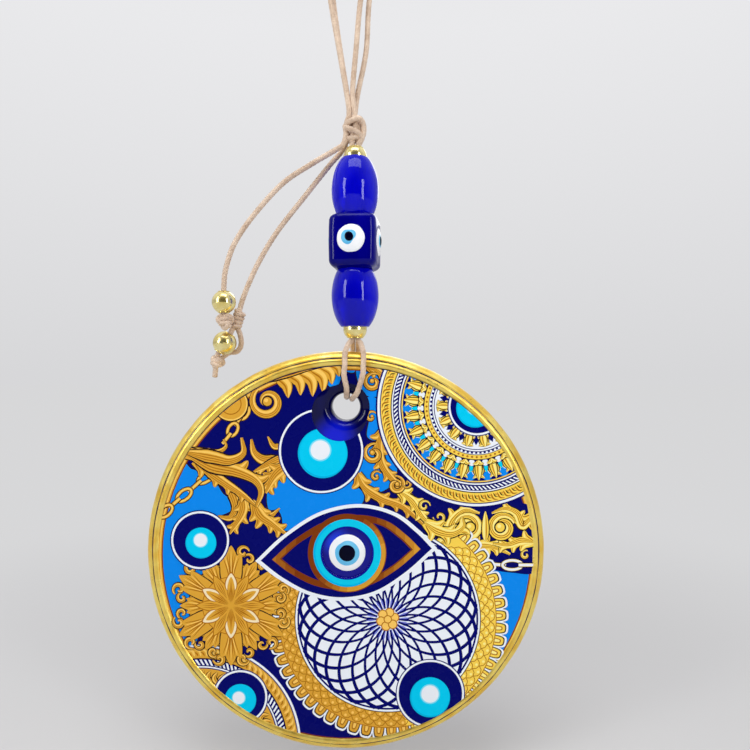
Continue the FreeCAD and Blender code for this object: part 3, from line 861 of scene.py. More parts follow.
def chain(art, places, tone="gold"):
    """Long chain links, face on and edge on by turns, between places."""
    for k, (a, b) in enumerate(zip(places, places[1:])):
        ahead = heading(a, b)
        long = math.dist(a, b)
        heart = ((a[0] + b[0]) / 2, (a[1] + b[1]) / 2)
        if k % 2:
            link = [aside(heart, ahead, long * share, 0) for share in (-0.66, 0, 0.66)]
            wide, growth = 0.8, 1.6
        else:
            turns = [2 * math.pi * j / 24 for j in range(25)]
            link = [aside(heart, ahead, math.cos(t) * (long / 2 + 0.35), math.sin(t) * 1.15) for t in turns]
            wide, growth = 0.72, 1.5
        for ink, grow in (("outline", 0.28), (tone, 0.0), (LIT[tone], -0.22)):
            art.rise()
            art.line(ink, link, wide + grow * growth)


def film():
    """The film itself: navy, with clear windows round the hole and over the eye."""
    heart = (-0.9, 35.1)
    window = []
    for out in ring_of((0, 0), 1.0, 72):
        reach = 0.0
        for place, radius in (LIP_WINDOW, MOUTH_WINDOW):
            off = (heart[0] - place[0], heart[1] - place[1])
            b = off[0] * out[0] + off[1] * out[1]
            c = off[0] ** 2 + off[1] ** 2 - radius ** 2
            reach = max(reach, -b + math.sqrt(max(0.0, b * b - c)))
        window.append(aside(heart, out, reach, 0))
    loops = [ring_of(FACE[0], FACE_RADIUS - 0.02, 180), window, ring_of(*EYE_WINDOW, 72)]
    sheet = Mesh()
    sheet.points = [Vector((p[0], -THICKNESS, p[1])) for loop in loops for p in loop]
    for corner in tessellate_polygon([[Vector((p[0], p[1], 0)) for p in loop] for loop in loops]):
        a, b, c = (sheet.points[k] for k in corner)
        sheet.faces.append(tuple(reversed(corner)) if (b - a).cross(c - a).y > 0 else tuple(corner))
        sheet.slots.append(0)
    for loop, slot in zip(loops, (0, 1, 1)):
        edges = [[Vector((p[0], -depth, p[1])) for p in loop] for depth in (THICKNESS, THICKNESS - FILM)]
        sheet.loft(edges, slot=slot)
    inks = [INK["navy"], INK["cobalt"]]
    sheet.piece("printed_film", "disc", "printed_film", inks, "printed_face", smooth=None)


def sky_ground():
    """Sky blue areas of the ground, with a thin dark line round each."""
    art = Print("print_sky")
    edges = [curve(shape, 0.8, closed=True) for shape in (
        [(-41.8, 22.0), (-38.4, 20.6), (-35.6, 19.6), (-32.5, 17.4), (-30.5, 14.4), (-28.2, 12.7),
         (-28.5, 10.3), (-31.2, 9.0), (-35.0, 8.0), (-36.0, 2.0), (-34.5, -6.0), (-36.0, -14.0),
         (-37.0, -22.0), (-41.0, -25.5), (-46.5, -22.0), (-50.0, -5.0), (-49.0, 10.0)],
        [(-15.2, 20.8), (-17.6, 17.6), (-19.5, 14.7), (-19.2, 10.6), (-17.0, 10.4), (-15.9, 8.6),
         (-15.2, 5.2), (-10.0, 7.0), (-3.0, 9.5), (3.0, 11.0), (4.6, 14.0), (2.3, 17.4), (3.1, 21.5),
         (0.0, 27.0), (-8.0, 30.0), (-14.0, 26.0)],
        [(33.6, -3.0), (38.0, -4.6), (46.0, -5.5), (48.0, -14.0), (43.5, -28.0), (35.0, -35.5),
         (33.2, -33.0), (38.6, -23.0), (39.6, -12.0), (36.0, -6.5)],
        [(-4.6, 42.0), (-2.8, 45.0), (-1.2, 43.2), (-2.6, 40.6)],
        [(0.0, 45.2), (1.2, 47.4), (3.0, 46.6), (2.0, 44.6)],
        [(2.6, 45.4), (4.0, 47.6), (13.0, 45.6), (12.0, 40.0), (6.0, 38.6), (3.4, 41.6)],
        [(5.4, 38.4), (8.4, 37.6), (9.4, 33.0), (8.6, 28.0), (5.4, 28.6), (5.9, 33.4)],
        [(4.6, 24.6), (8.6, 26.4), (12.6, 22.0), (11.8, 17.0), (7.4, 14.8), (3.4, 19.0)],
    )]
    for edge in edges:
        art.line("outline", edge + edge[:1], 0.6)
    art.rise()
    for edge in edges:
        art.fill("sky", edge)
    art.finish()


def rim_lines():
    """Gold lines round the print's edge."""
    art = Print("print_border")
    for ink, inner, outer in (("brown", 1.15, 0), ("gold", 0.85, 0), ("gold_light", 0.55, 0.3)):
        art.band(ink, FACE[0], FACE_RADIUS - inner, FACE_RADIUS - outer)
        art.rise()
    art.finish()


def upper_scrolls():
    """Scrolls, leaves and chains over the eye's left and above the hole."""
    art = Print("print_scrolls")
    chain(art, [(-32.6, 20.2), (-36.4, 17.4), (-38.8, 15.2), (-41.6, 13.0), (-43.6, 11.2), (-46.0, 9.0)])
    chain(art, [(-24.6, 35.8), (-26.2, 33.4), (-27.4, 31.6), (-28.8, 29.2), (-30.4, 27.2)])
    # Along the edge: a smooth band, a shell, leaves that hang like flames, and the big scroll.
    acanthus(art, [(-38.6, 28.6), (-34.6, 33.6), (-29.6, 38.2), (-24.2, 41.8), (-17.6, 44.8)], 3.4, 0)
    art.discs((-28.6, 36.8), ("outline", 4.5), ("gold_light", 4.2), ("gold", 3.85), ("gold_dark", 2.7),
              ("gold", 2.45), count=48)
    leaves(art, [
        ((-17.4, 43.6), (-14.3, 38.2), 2.9, 0.2), ((-14.6, 44.2), (-11.2, 38.9), 2.9, 0.25),
        ((-12.0, 44.8), (-8.2, 38.6), 2.9, 0.25), ((-9.0, 45.4), (-5.6, 39.6), 2.9, 0.25),
        ((-6.6, 46.0), (-3.4, 41.6), 2.6, 0.25), ((-4.4, 46.6), (-1.6, 43.6), 2.4, 0.25),
    ])
    acanthus(art, [(-23.6, 40.6), (-19.4, 43.2), (-14.0, 44.6), (-8.6, 46.0), (-2.6, 46.8)], 3.0, 0)
    gold_lines(art, [spiral((-19.5, 37.4), 4.0, 0.9, 128, 640, 56)], 2.3, "horn")
    art.discs((-19.5, 37.4), ("outline", 1.35), ("gold", 1.1), count=24)
    art.circle("gold_light", (-19.8, 37.7), 0.5, 16)
    # The big leaf: it grows from the rim, curls up twice and falls to the almond.
    for width, lobes, sides, points in [
        (2.3, 0, (), [(-40.4, 25.8), (-35.2, 24.9), (-31.8, 24.9), (-29.8, 26.2), (-30.4, 28.0)]),
        (2.0, 0, (), [(-15.4, 26.7), (-17.8, 26.2), (-19.4, 28.7)]),
        (3.6, 0, (), [(-14.4, 23.4), (-19.8, 22.7), (-22.7, 24.5), (-23.5, 28.0)]),
        (3.2, 3, (1,), [(-13.8, 24.0), (-18.8, 21.8), (-23.0, 19.8)]),
        (3.8, 3, (1, -1), [(-13.8, 22.0), (-17.6, 18.8), (-19.9, 14.6)]),
        (3.8, 0, (), [(-30.2, 17.6), (-27.8, 14.0), (-27.2, 10.8), (-28.8, 8.4), (-31.8, 8.8)]),
        (3.2, 3, (1, -1), [(-25.4, 14.0), (-25.7, 9.6), (-28.9, 4.4)]),
        (2.2, 0, (), [(-21.8, 11.4), (-19.0, 9.0), (-16.4, 10.8)]),
        (3.8, 4, (-1, 1), [(-23.0, 13.0), (-21.2, 9.2), (-18.6, 7.2), (-14.8, 4.4)]),
        (3.4, 4, (-1,), [(-38.4, 23.2), (-31.0, 17.8), (-25.6, 14.2), (-22.0, 11.2)]),
        (4.8, 4, (1,), [(-41.0, 25.2), (-33.4, 21.6), (-27.4, 20.2), (-22.6, 18.0), (-21.0, 15.0),
                        (-22.2, 11.2)]),
        (4.2, 0, (), [(-40.6, 25.0), (-33.0, 23.6), (-28.8, 22.8), (-25.5, 24.6), (-25.9, 28.4)]),
    ]:
        acanthus(art, points, width, lobes, sides, spread=24)
    art.finish()


def middle_scrolls():
    """Scrolls between the hole, the lace and the eye, paler where the light catches the print."""
    art = Print("print_middle_scrolls")
    tone = "gold_pale"
    art.fill("navy", curve([
        (16.6, 13.6), (22.0, 12.0), (32.0, 12.4), (47.4, 10.6), (48.0, -4.0), (41.0, -5.2), (33.0, -3.2),
        (27.4, 1.4), (22.0, 5.4), (16.6, 9.6),
    ], 0.8, closed=True))
    # Down the right of the hole, then along the eye to the middle.
    acanthus(art, [(4.4, 46.6), (8.6, 44.6), (10.4, 40.4), (9.6, 35.4), (9.8, 30.0)], 2.6, 4)
    acanthus(art, [(9.8, 31.4), (8.4, 26.6), (9.2, 21.6), (12.6, 17.2), (17.6, 13.2)], 3.0, 5)
    acanthus(art, [(2.6, 20.6), (4.6, 16.2), (9.0, 13.2), (14.6, 11.0), (20.6, 5.6)], 3.0, 5)
    acanthus(art, [(12.6, 15.6), (16.6, 12.8), (19.4, 8.6), (24.0, 4.4)], 2.8, 4, tone=tone)
    for place, radius, start, turn in (
        ((6.8, 42.2), 2.4, 60, 420), ((7.0, 24.4), 2.6, 80, 420), ((12.6, 16.6), 2.3, 100, -420),
        ((6.4, 33.6), 1.5, 30, 360), ((7.6, 18.8), 1.4, 30, 360), ((15.4, 17.0), 1.2, 200, 330),
    ):
        curl(art, place, radius, start, turn, radius * 0.46)
    for place, radius, start, turn in (
        ((19.6, 11.4), 1.5, 0, 400), ((23.4, 8.6), 1.6, 180, 400), ((26.4, 4.6), 1.2, 60, 360),
        ((44.8, -0.8), 1.2, 60, 360),
    ):
        curl(art, place, radius, start, turn, 0.65, tone, ball=False)
    # Two facing scrolls over a pillar, with leaves out to the rim.
    for width, lobes, points in (
        (3.4, 4, [(22.6, 1.6), (25.2, 3.4), (26.4, 7.6), (29.6, 10.4), (33.4, 9.6)]),
        (3.2, 3, [(47.6, 9.8), (44.2, 6.6), (42.6, 9.4), (39.8, 10.6), (36.4, 9.6)]),
        (3.6, 5, [(24.8, -1.4), (28.4, 1.0), (32.4, 1.6), (36.6, 1.4), (41.0, -0.6)]),
        (3.0, 3, [(47.2, 2.2), (43.8, 2.6), (40.4, 1.6), (36.6, 2.0)]),
    ):
        acanthus(art, points, width, lobes, tone=tone)
    curl(art, (30.5, 6.1), 3.3, 160, -520, 2.3, tone)
    curl(art, (39.0, 6.1), 3.3, 20, 520, 2.3, tone)
    leaves(art, [((34.8, 2.6), (34.8, 10.2), 1.7, 0.0)], tone)
    chain(art, [(32.8, -2.8), (36.2, -3.1), (39.4, -3.3), (43.6, -3.3), (47.0, -3.3)], "cream")
    art.finish()


def palmettes(art, place, turns, pitch, kinds):
    """Fans of pale leaves; each kind is (root, tip, splay by a share of the pitch, width, bend)."""
    for root, tip, splay, width, bend in kinds:
        stems = []
        for turn in turns:
            for side in (1, -1) if splay else (0,):
                end = around(place, tip, turn + side * pitch * splay)
                stems.append((around(place, root, turn), end, width, side * bend))
        leaves(art, stems, "gold_pale")


def ticks(art, place, turns, strokes):
    """Dots and short curved strokes round a ring, each (ink, width, places as for polar)."""
    for turn in turns:
        for ink, width, points in strokes:
            places = polar(place, turn, *points)
            if len(places) == 1:
                art.circle(ink, places[0], width, 10)
            else:
                art.line(ink, curve(places), width, "leaf")
    art.rise()


def lace_circle():
    """The big lace circle at the upper right, cut by the print's edge."""
    art = Print("print_lace")
    place = (32.7, 36.1)
    start, sweep = 140, 180
    end = start + sweep
    art.bands(place, start, end, ("navy", 25.2), ("white", 24.8), ("navy", 24.2), ("gold_pale", 23.95))
    ticks(art, place, turns_over(start, sweep, 44), [
        ("gold_dark", 0.4, [(21.8, 0), (23.3, 1.2), (23.7, 4.2)]),
        ("outline", 0.3, [(21.8, 1.6), (22.8, 2.6), (23.0, 4.4)]),
        ("gold", 0.3, [(22.3, 3.2)]),
    ])
    art.bands(place, start, end, ("outline", 21.5), ("white", 21.25), ("navy", 20.95), ("white", 19.45),
              ("navy", 19.1), ("gold_pale", 18.8), ("navy", 18.5))
    rope(art, place, 19.8, 20.75, start, sweep, 62, 2.4, 0.45)
    art.rise()
    # Lace of gold palmettes with white and turquoise showing between.
    pitch = sweep / 13
    turns = turns_over(start, sweep, 13, 0.5)
    for turn in turns:
        for ink, radius, share, size, count in (
            ("sky", 17.2, 0.5, 1.3, 16), ("turquoise", 15.6, 0.5, 0.8, 16), ("white", 14.0, 0.5, 0.8, 16),
            ("white", 16.4, 0.25, 0.6, 12), ("white", 16.4, -0.25, 0.6, 12),
        ):
            art.circle(ink, around(place, radius, turn + pitch * share), size, count)
    palmettes(art, place, turns, pitch, [
        (13.6, 16.2, 0.47, 1.1, -0.45), (13.8, 17.9, 0.36, 1.5, -0.3), (13.4, 18.4, 0, 1.6, 0),
        (13.3, 14.2, 0.42, 0.9, -0.3),
    ])
    art.bands(place, start, end, ("outline", 13.3), ("gold_pale", 13.1), ("outline", 12.05),
              ("white", 11.9), ("navy", 11.75), ("white", 11.1), ("navy", 10.75), ("white", 10.55))
    for turn in turns_over(start, sweep, 34, 0.5):
        art.circle("gold_dark", around(place, 12.55, turn), 0.28, 8)
        art.circle("white", around(place, 11.55, turn + 2), 0.3, 8)
    art.rise()
    pitch = sweep / 7
    turns = turns_over(start, sweep, 7, 0.5)
    for turn in turns:
        art.line("navy", polar(place, turn + pitch / 2, (6.8, 0), (8.4, 0), (9.6, 0)), 1.5, "leaf")
    palmettes(art, place, turns, pitch, [
        (7.0, 9.9, 0.36, 1.5, -0.4), (6.9, 7.7, 0.44, 1.0, -0.35), (6.8, 10.3, 0, 1.6, 0),
    ])
    art.finish()


def arc_band():
    """Gold and rope bands round the corner at the lower left, cut by the print's edge."""
    art = Print("print_arcs")
    place = (-35.9, -48.0)
    start, sweep = -25, 140
    end = start + sweep
    art.bands(place, start, end, ("white", 24.8), ("navy", 24.25), ("gold", 24.0))
    ticks(art, place, turns_over(start, sweep, 34), [
        ("gold_light", 0.6, [(21.9, 0), (23.2, 1.0), (23.7, 4.0)]),
        ("gold_dark", 0.4, [(21.9, 1.8), (22.7, 2.8), (23.0, 4.6)]),
    ])
    art.bands(place, start, end, ("outline", 21.5), ("navy", 21.3), ("white", 19.5), ("navy", 19.15),
              ("gold", 18.9))
    rope(art, place, 19.75, 21.15, start, sweep, 46, 2.4)
    turns = turns_over(start, sweep, 26, 0.5)
    leaves(art, [(*polar(place, turn, (15.4, 0), (18.6, 2.6)), 1.1, 0.3) for turn in turns])
    art.bands(place, start, end, ("white", 15.2), ("navy", 14.9), ("white", 13.6), ("gold", 13.3))
    rope(art, place, 13.7, 14.8, start, sweep, 34, 3.0)
    art.finish()


def mandala():
    """The lower mandala: a lattice of spirals round a gold flower, in a ring of gold scallops."""
    art = Print("print_mandala")
    place = (10.5, -16.8)
    pitch = 360 / 56
    # The almond and the scrolls over it hide the top of the ring.
    start, end = 124, 413
    turns = [start + pitch * k for k in range(math.ceil((end - start) / pitch))]

    def tone(turn):
        """The print catches the light at the right."""
        return "gold_pale" if math.cos(math.radians(turn + 5)) > 0.25 else "gold"

    for wide, tip, ink_at in (
        (3.3, 30.1, lambda turn: "white"),
        (2.7, 29.6, lambda turn: "outline"),
        (2.25, 29.3, tone),
        (1.2, 28.7, lambda turn: "gold_dark"),
        (0.75, 28.4, lambda turn: LIT[tone(turn)]),
    ):
        for turn in turns:
            shares = (0, 0.3, 0.5, 0.65, 0.77, 0.87, 0.94, 0.98, 1)
            finger = [around(place, 25.4 + (tip - 25.4) * share, turn) for share in shares]
            art.line(ink_at(turn), finger, wide, "lobe")
        art.rise()
    # Painted light: from 280 degrees round to the end the band is paler gold, where the print catches the
    # light.
    for ink, radius, first in (("gold_dark", 27.1, start), ("gold", 26.9, start), ("gold_pale", 26.9, 280)):
        art.band(ink, place, 22.8, radius, first, end)
        art.rise()
    scale = ((-0.3, -0.5), (0.5, -0.3), (0.8, 0), (0.5, 0.3), (-0.3, 0.5))
    for row, radius in enumerate((23.5, 24.7, 25.9)):
        for turn in turns[1:]:
            turn -= pitch * row / 2
            edge = polar(place, turn, *((radius + out, pitch * past) for out, past in scale))
            art.line("gold_dark", edge, 0.19)
            art.circle(LIT[tone(turn)], around(place, radius + 0.1, turn), 0.34, 8)
    art.discs(place, ("outline", 23.2), ("white", 23.0), ("navy", 22.5), ("white", 22.05), count=120)
    arms = 24
    for hand in (1, -1):
        for k in range(arms):
            points = []
            for step in range(37):
                lean = 7 + 76 * step / 36
                turn = 360 * k / arms + hand * 0.75 * (lean - 10)
                points.append(around(place, 22.4 * math.sin(math.radians(lean)), turn))
            art.line("navy", points, 0.82, "flare")
        art.rise()
    for k in range(arms * 2):
        turn = 180 * (k + 0.5) / arms
        ink, reach = ("navy", 6.8) if k % 2 else ("lilac", 5.6)
        art.line(ink, polar(place, turn, (2.4, 0), (4.4, 0), (reach, 0)), 0.42, "leaf")
    for turn in range(15, 375, 60):
        art.discs(around(place, 1.75, turn), ("amber", 1.2), ("gold_light", 0.95), count=20)
    art.discs(place, ("amber", 1.05), ("gold_light", 0.8), count=20)
    # A leaf over the ring's upper end, in pale gold as painted light, where the print catches the light at
    # the right.
    upper_end = [(19.4, 7.6), (22.8, 5.4), (26.4, 4.6), (29.2, 6.2), (29.0, 8.6)]
    acanthus(art, upper_end, 3.6, 3, tone="gold_pale")
    art.finish()


def rosette():
    """The gold flower at the left: hooked leaves, finely veined, round six white-tipped petals."""
    art = Print("print_rosette")
    place = (-28.5, -13.4)

    def petals(turns, reach, wide, splay, veins):
        """Leaves of three lobes, the outer two bending away from each other."""
        for ink, width in (("outline", wide + 0.6), ("gold", wide)):
            art.rise()
            for turn in turns:
                for off, share in ((-splay, 0.88), (splay, 0.88), (0, 1.0)):
                    tip = reach * share
                    lobe = polar(place, turn, (4.0, 0), (tip * 0.66, off * 0.45), (tip, off * 1.3))
                    art.line(ink, curve(lobe), width, "leaf")
        art.rise()
        for turn in turns:
            for vein in range(veins):
                off = (vein / (veins - 1) - 0.5) * 2 * splay
                tip = reach * (0.93 - 0.1 * abs(off) / splay)
                ink = "gold_light" if vein % 3 == 1 else "gold_dark"
                line = polar(place, turn, (5.0, off * 0.3), (tip * 0.68, off * 0.62), (tip, off * 1.15))
                art.line(ink, curve(line), 0.3, "leaf")

    def hooks(turns, reach, apart, lean, size):
        """Curled ends, two to a leaf."""
        runs = []
        for turn in turns:
            for side in (1, -1):
                start = turn + side * lean
                heart = around(place, reach, turn + side * apart)
                runs.append(spiral(heart, size, size * 0.2, start, start - side * 360, 24))
        gold_lines(art, runs, size * 0.62)

    def strokes(turns, ink, width, *points, step=None):
        """A leaf-shaped stroke at each turn, through places as for polar."""
        for turn in turns:
            spine = polar(place, turn, *points)
            art.line(ink, curve(spine, step) if step else spine, width, "leaf")

    short = range(0, 360, 60)
    long = range(30, 390, 60)
    hooks(short, 12.4, 9.0, 100, 1.35)
    art.discs(place, ("outline", 10.7), ("gold", 10.4), count=60)
    petals(short, 12.8, 3.4, 7.0, 6)
    hooks(long, 13.6, 12.5, 80, 1.6)
    petals(long, 15.0, 4.4, 8.5, 9)
    art.discs(place, ("gold_dark", 7.2), ("gold", 7.0), count=60)
    for ink, wide, reach in (("gold_dark", 3.0, 8.9), ("gold", 2.5, 8.5)):
        strokes(short, ink, wide, (1.5, 0), (5.4, 0), (reach, 0), step=0.3)
        art.rise()
    for turn in short:
        for off in (-6, 0, 6):
            strokes([turn], "gold_dark", 0.24, (2.0, 0), (5.0, off), (7.4, off * 0.5))
    art.rise()
    for ink, wide, root, reach in (
        ("gold_dark", 3.2, 3.2, 8.5), ("cream", 2.7, 3.2, 8.1), ("gold", 1.9, 1.6, 7.2),
    ):
        strokes(long, ink, wide, (root, 0), (5.6, 0), (reach, 0), step=0.3)
        art.rise()
    for turn in long:
        strokes([turn], "gold_dark", 0.45, (0.6, 0), (3.6, 0), (6.4, 0))
        for off in (-15, -8, 8, 15):
            strokes([turn], "gold_dark", 0.25, (0.8, off), (3.0, off), (4.6, off * 0.8))
        strokes([turn], "gold_light", 0.35, (2.4, 4), (6.2, 4))
    art.finish()


def roundels():
    """Five navy roundels, each with a thin white line, a cyan drop and a white dot."""
    art = Print("print_roundels")
    for ring, radius, drop, wide, dot, small in (
        ((-6.1, 25.1), 10.2, (-5.7, 24.5), 6.2, (-6.3, 25.3), 2.4),
        ((-36.2, 2.9), 6.9, (-36.0, 2.2), 3.85, (-36.1, 2.9), 1.6),
        ((-26.2, -36.2), 6.4, (-26.2, -36.9), 3.95, (-26.6, -36.4), 1.5),
        ((21.1, -35.3), 8.1, (21.0, -36.2), 5.0, (21.0, -35.4), 2.15),
        ((32.7, 36.1), 6.8, (32.3, 35.7), 4.8, (32.0, 36.1), 1.8),
    ):
        art.discs(ring, ("navy", radius + 0.55), ("white", radius + 0.3), ("navy", radius - 0.2))
        art.discs(drop, ("cyan_deep", wide))
        art.discs((drop[0] + wide * 0.02, drop[1] + wide * 0.03), ("cyan", wide * 0.95))
        art.discs(dot, ("cyan_pale", small * 1.15), ("white", small), count=40)
    art.finish()


def almond():
    """The almond round the eye: white line, navy band, brown and gold line, navy ground."""
    art = Print("print_almond")
    left, right = (-22.5, -2.3), (22.8, 0.9)
    upper = [left, (-15.5, 4.2), (-6.5, 9.9), (3.4, 11.9), (12.4, 9.8), (18.6, 5.2), right]
    lower = [right, (15.6, -5.6), (7.6, -10.6), (-1.15, -12.2), (-9.6, -10.6), (-17.0, -6.6), left]
    outline = curve(upper) + curve(lower)[1:-1]

    def drawn_in(amount):
        """The outline closer to its middle, by nearly twice as much at its tips."""
        heart = (0.3, -0.3)
        shape = []
        for p in outline:
            long = math.dist(p, heart)
            share = 1 - amount / long * (1.0 + 0.9 * (long / 23) ** 2)
            shape.append((heart[0] + (p[0] - heart[0]) * share, heart[1] + (p[1] - heart[1]) * share))
        return shape

    for ink, amount in (("white", 0.0), ("navy", 0.72), ("brown", 2.2)):
        art.fill(ink, drawn_in(amount))
        art.rise()
    # The line turns from brown to gold towards its tips, where it catches the light.
    for k, ink in enumerate(BROWN_TO_GOLD):
        ends = [(4.0 + 2.4 * k, -1)]
        if k < 4:
            ends.append((-11.0 - 2.4 * k, 1))
        for across, keep in ends:
            art.fill(ink, cut(drawn_in(2.25), (across, -20), (across + 2, 20), keep))
        art.rise()
    for ink, amount in (("brown", 3.25), ("navy", 3.5)):
        art.fill(ink, drawn_in(amount))
        art.rise()
    eye = EYE_WINDOW[0]
    art.circle("brown", eye, 9.8)
    art.rise()
    for k, ink in enumerate(BROWN_TO_GOLD):
        art.band(ink, eye, 8.5, 9.6, -150 + 12 * k, 75 - 12 * k)
        art.rise()
    art.discs(eye, ("turquoise", 8.45))
    art.band("cyan_deep", eye, 7.9, 8.45, 120, 300)
    art.rise()
    art.band("cobalt", eye, 6.1, 6.65)
    art.finish()


# ---- the beads --------------------------------------------------------------------------------


def oval_beads():
    """Two moulded oval beads of clear cobalt glass, the wall of their bore painted dark as shade."""
    count = 96
    end = 3.5
    for node, name, body, seed in (
        ("lower_oval_bead", "lower_oval_glass", "lower_oval", 3),
        ("upper_oval_bead", "upper_oval_glass", "upper_oval", 8),
    ):
        low, high = corners(node)
        half = (high.z - low.z) / 2
        radius = (high.x - low.x) / 2
        tall = half / math.sqrt(1 - (end / radius) ** 2)
        lip = [(BORE, -half + 0.35), (BORE + 0.3, -half + 0.03), (end - 0.35, -half)]
        heights = [(half - 0.1) * (k / 20 - 1) for k in range(41)]
        oval = [(radius * math.sqrt(1 - (height / tall) ** 2), height) for height in heights]
        profile = lip + oval + [(out, -height) for out, height in reversed(lip)] + [(BORE, 0.0)]
        bead = Mesh()
        bead.loft(turned(profile, middle(node), Z, count, 0.05, seed), closed=True)
        # The bore's wall takes the painted shade.
        bead.slots[-2 * count:] = [1] * (2 * count)
        bead.piece(name, body, "cobalt_bead_glass", [BEAD_GLASS, BORE_SHADE_GLASS], node)


def soft_square(half, power, centre):
    """A ring of the cube bead: from a circle (power 2) to nearly a square (high power)."""
    ring = []
    for k in range(96):
        angle = 2 * math.pi * k / 96
        reach = half / (abs(math.cos(angle)) ** power + abs(math.sin(angle)) ** power) ** (1 / power)
        ring.append(centre + Vector((math.cos(angle + CUBE_TURN), math.sin(angle + CUBE_TURN), 0)) * reach)
    return ring


def cube_bead():
    """The lampworked cube bead, its ends dimpled where the oval beads sit."""
    low, high = corners("cube_bead")
    half = (high.z - low.z) / 2
    bulge = 2.0
    end = [(BORE, 2.0, -half + 1.6), (3.6, 2.0, -half + 1.5), (4.15, 2.0, -half + 0.05), (4.5, 2.2, -half)]
    for size, rise in arc((CUBE_HALF - bulge, bulge - half), bulge, -90, 0, 9):
        square = (size - CUBE_HALF + bulge) / bulge
        end.append((size, 2.4 + 3.4 * square, rise))
    waist = [(CUBE_HALF + 0.06 * math.cos(math.radians(20 * h)), 6.2, h) for h in (-3, -1.5, 0, 1.5, 3)]
    profile = end + waist + [(size, power, -height) for size, power, height in reversed(end)]
    rings = [soft_square(size, power, middle("cube_bead") + Z * height) for size, power, height in profile]
    bead = Mesh()
    bead.loft([handmade(ring, 0.10, 0.25, 21) for ring in rings], closed=True)
    bead.piece("cube_glass", "cube", "opaque_cobalt_glass", [CUBE_GLASS], "cube_bead", smooth=50)


def cube_eyes():
    """Four eyes on the cube bead, each dropped on by hand: white, light blue and dark."""
    heart = Vector((BAR.x, BAR.y, middle("cube_eye_whites").z))
    for node, name, radius, rise, top, drift, material, slot in (
        ("cube_eye_whites", "cube_white", 3.5, 0.0, 0.55, 0.0, WHITE_GLASS, "white_glass"),
        ("cube_eye_irises", "cube_light_blue", 2.05, 0.3, 0.72, 0.4, BLUE_GLASS, "light_blue_glass"),
        ("cube_eye_pupils", "cube_pupil", 1.2, 0.5, 0.82, 0.4, DARK_GLASS, "dark_glass"),
    ):
        drops = Mesh()
        for side in range(4):
            angle = CUBE_TURN + (side - 1) * math.pi / 2
            out = Vector((math.cos(angle), math.sin(angle), 0))
            off = out.cross(Z) * (drift * math.cos(side + 0.2)) + Z * drift * 0.8
            base = heart + out * (CUBE_HALF - 0.02) + off
            dome(drops, base, out, radius, top, rise, 0.14, side * 3 + len(name))
        drops.piece(name, "cube", slot, [material], node)


def gold_beads():
    """Round plated beads with rolled lips round their bores and a faint seam."""
    for seed, (node, name, body, bore, lean) in enumerate((
        ("lower_gold_bead", "lower_gold_ball", "lower_gold", BORE, 0),
        ("upper_gold_bead", "upper_gold_ball", "upper_gold", BORE, 0),
        ("outer_tail_bead", "outer_tail_ball", "outer_tail_gold", TAIL_BORE, 0),
        ("inner_tail_bead", "inner_tail_ball", "inner_tail_gold", TAIL_BORE, INNER_TAIL_LEAN),
    ), 1):
        low, high = corners(node)
        radius = (high.y - low.y) / 2
        flat = math.sqrt(radius ** 2 - (bore + 0.25) ** 2)
        profile = []
        for k in range(33):
            up = math.asin(flat / radius) * (k / 16 - 1)
            seam = 0.03 if k == 16 else 0.0
            profile.append((radius * math.cos(up) - seam, radius * math.sin(up)))
        lip = arc((bore + 0.22, flat - 0.1), 0.22, 60, 180, 5)
        profile += lip + [(bore, 0.0)] + [(out, -height) for out, height in reversed(lip)]
        axis = Vector((math.sin(lean), 0, math.cos(lean)))
        bead = Mesh()
        bead.loft(turned(profile, middle(node), axis, 72, 0.06, seed), closed=True)
        bead.piece(name, body, "gold_bead", [BEAD_GOLD], node)


# ---- the cords --------------------------------------------------------------------------------


def cord_piece(name, node, mesh):
    """A piece of waxed cord, made without a body."""
    return mesh.piece(name, None, "waxed_cord", [WAXED_CORD], node, smooth=60)


def laid(*runs):
    """A mesh of laid cords along runs of points."""
    mesh = Mesh()
    for run in runs:
        lay_cord(mesh, run)
    return mesh


def bend(piece, first, second, start, end):
    """Bakes a cord piece's transform into its mesh; the bodies are not used, and the places, as (right of
    the bar, height), are worked out but not used.
    """
    start, end = (Vector((BAR.x + right, BAR.y, up)) * MM for right, up in (start, end))
    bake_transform(piece)


def placed(base, *points):
    """Points given from a base."""
    return [base + Vector(point) for point in points]


def coil(mesh, start, end, radius):
    """Thin cord wound closely round the line from start to end."""
    thick = CORD * 0.8
    along = (end - start).normalized()
    across = along.orthogonal().normalized()
    side = along.cross(across)
    turns = (end - start).length / (thick * 1.8)
    steps = math.ceil(turns * 10)
    points = []
    for k in range(steps + 1):
        t = 2 * math.pi * turns * k / steps
        points.append(start.lerp(end, k / steps) + (across * math.cos(t) + side * math.sin(t)) * radius)
    lay_cord(mesh, points, thick)


def stopper(mesh, centre, along, size):
    """A knot drawn tight round its own cord, about `size` across: a trefoil over a close coil."""
    across = along.cross(Y).normalized()
    scale = (size / 2 - CORD) / 3.0
    points = []
    for k in range(24):
        t = 2 * math.pi * k / 24
        u = (math.sin(t) + 2 * math.sin(2 * t)) * scale
        v = (math.cos(t) - 2 * math.cos(2 * t)) * scale
        points.append(centre + across * u + along * v - Y * math.sin(3 * t) * 0.75)
    lay_cord(mesh, points, closed=True)
    coil(mesh, centre + along * size * 0.28, centre - along * size * 0.28, size * 0.24)


def strands(foot, head):
    """Four strands side by side between two heights on the bar."""
    runs = []
    for right in (-STRAND, STRAND):
        for back in (-STRAND, STRAND):
            heights = [foot + (head - foot) * k / 4 for k in range(5)]
            runs.append([(BAR.x + right, BAR.y + back, height) for height in heights])
    return runs


def cords_in_bar():
    """The strands inside the beads, unseen but for the glow through the glass."""
    for name, node, body, short in (
        ("threading_cords", "bar_cords", "bar", 0.0),
        ("neck_strands", "neck_cords", "neck", 0.9),
    ):
        low, high = corners(node)
        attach(cord_piece(name, node, laid(*strands(low.z + short, high.z))), body)


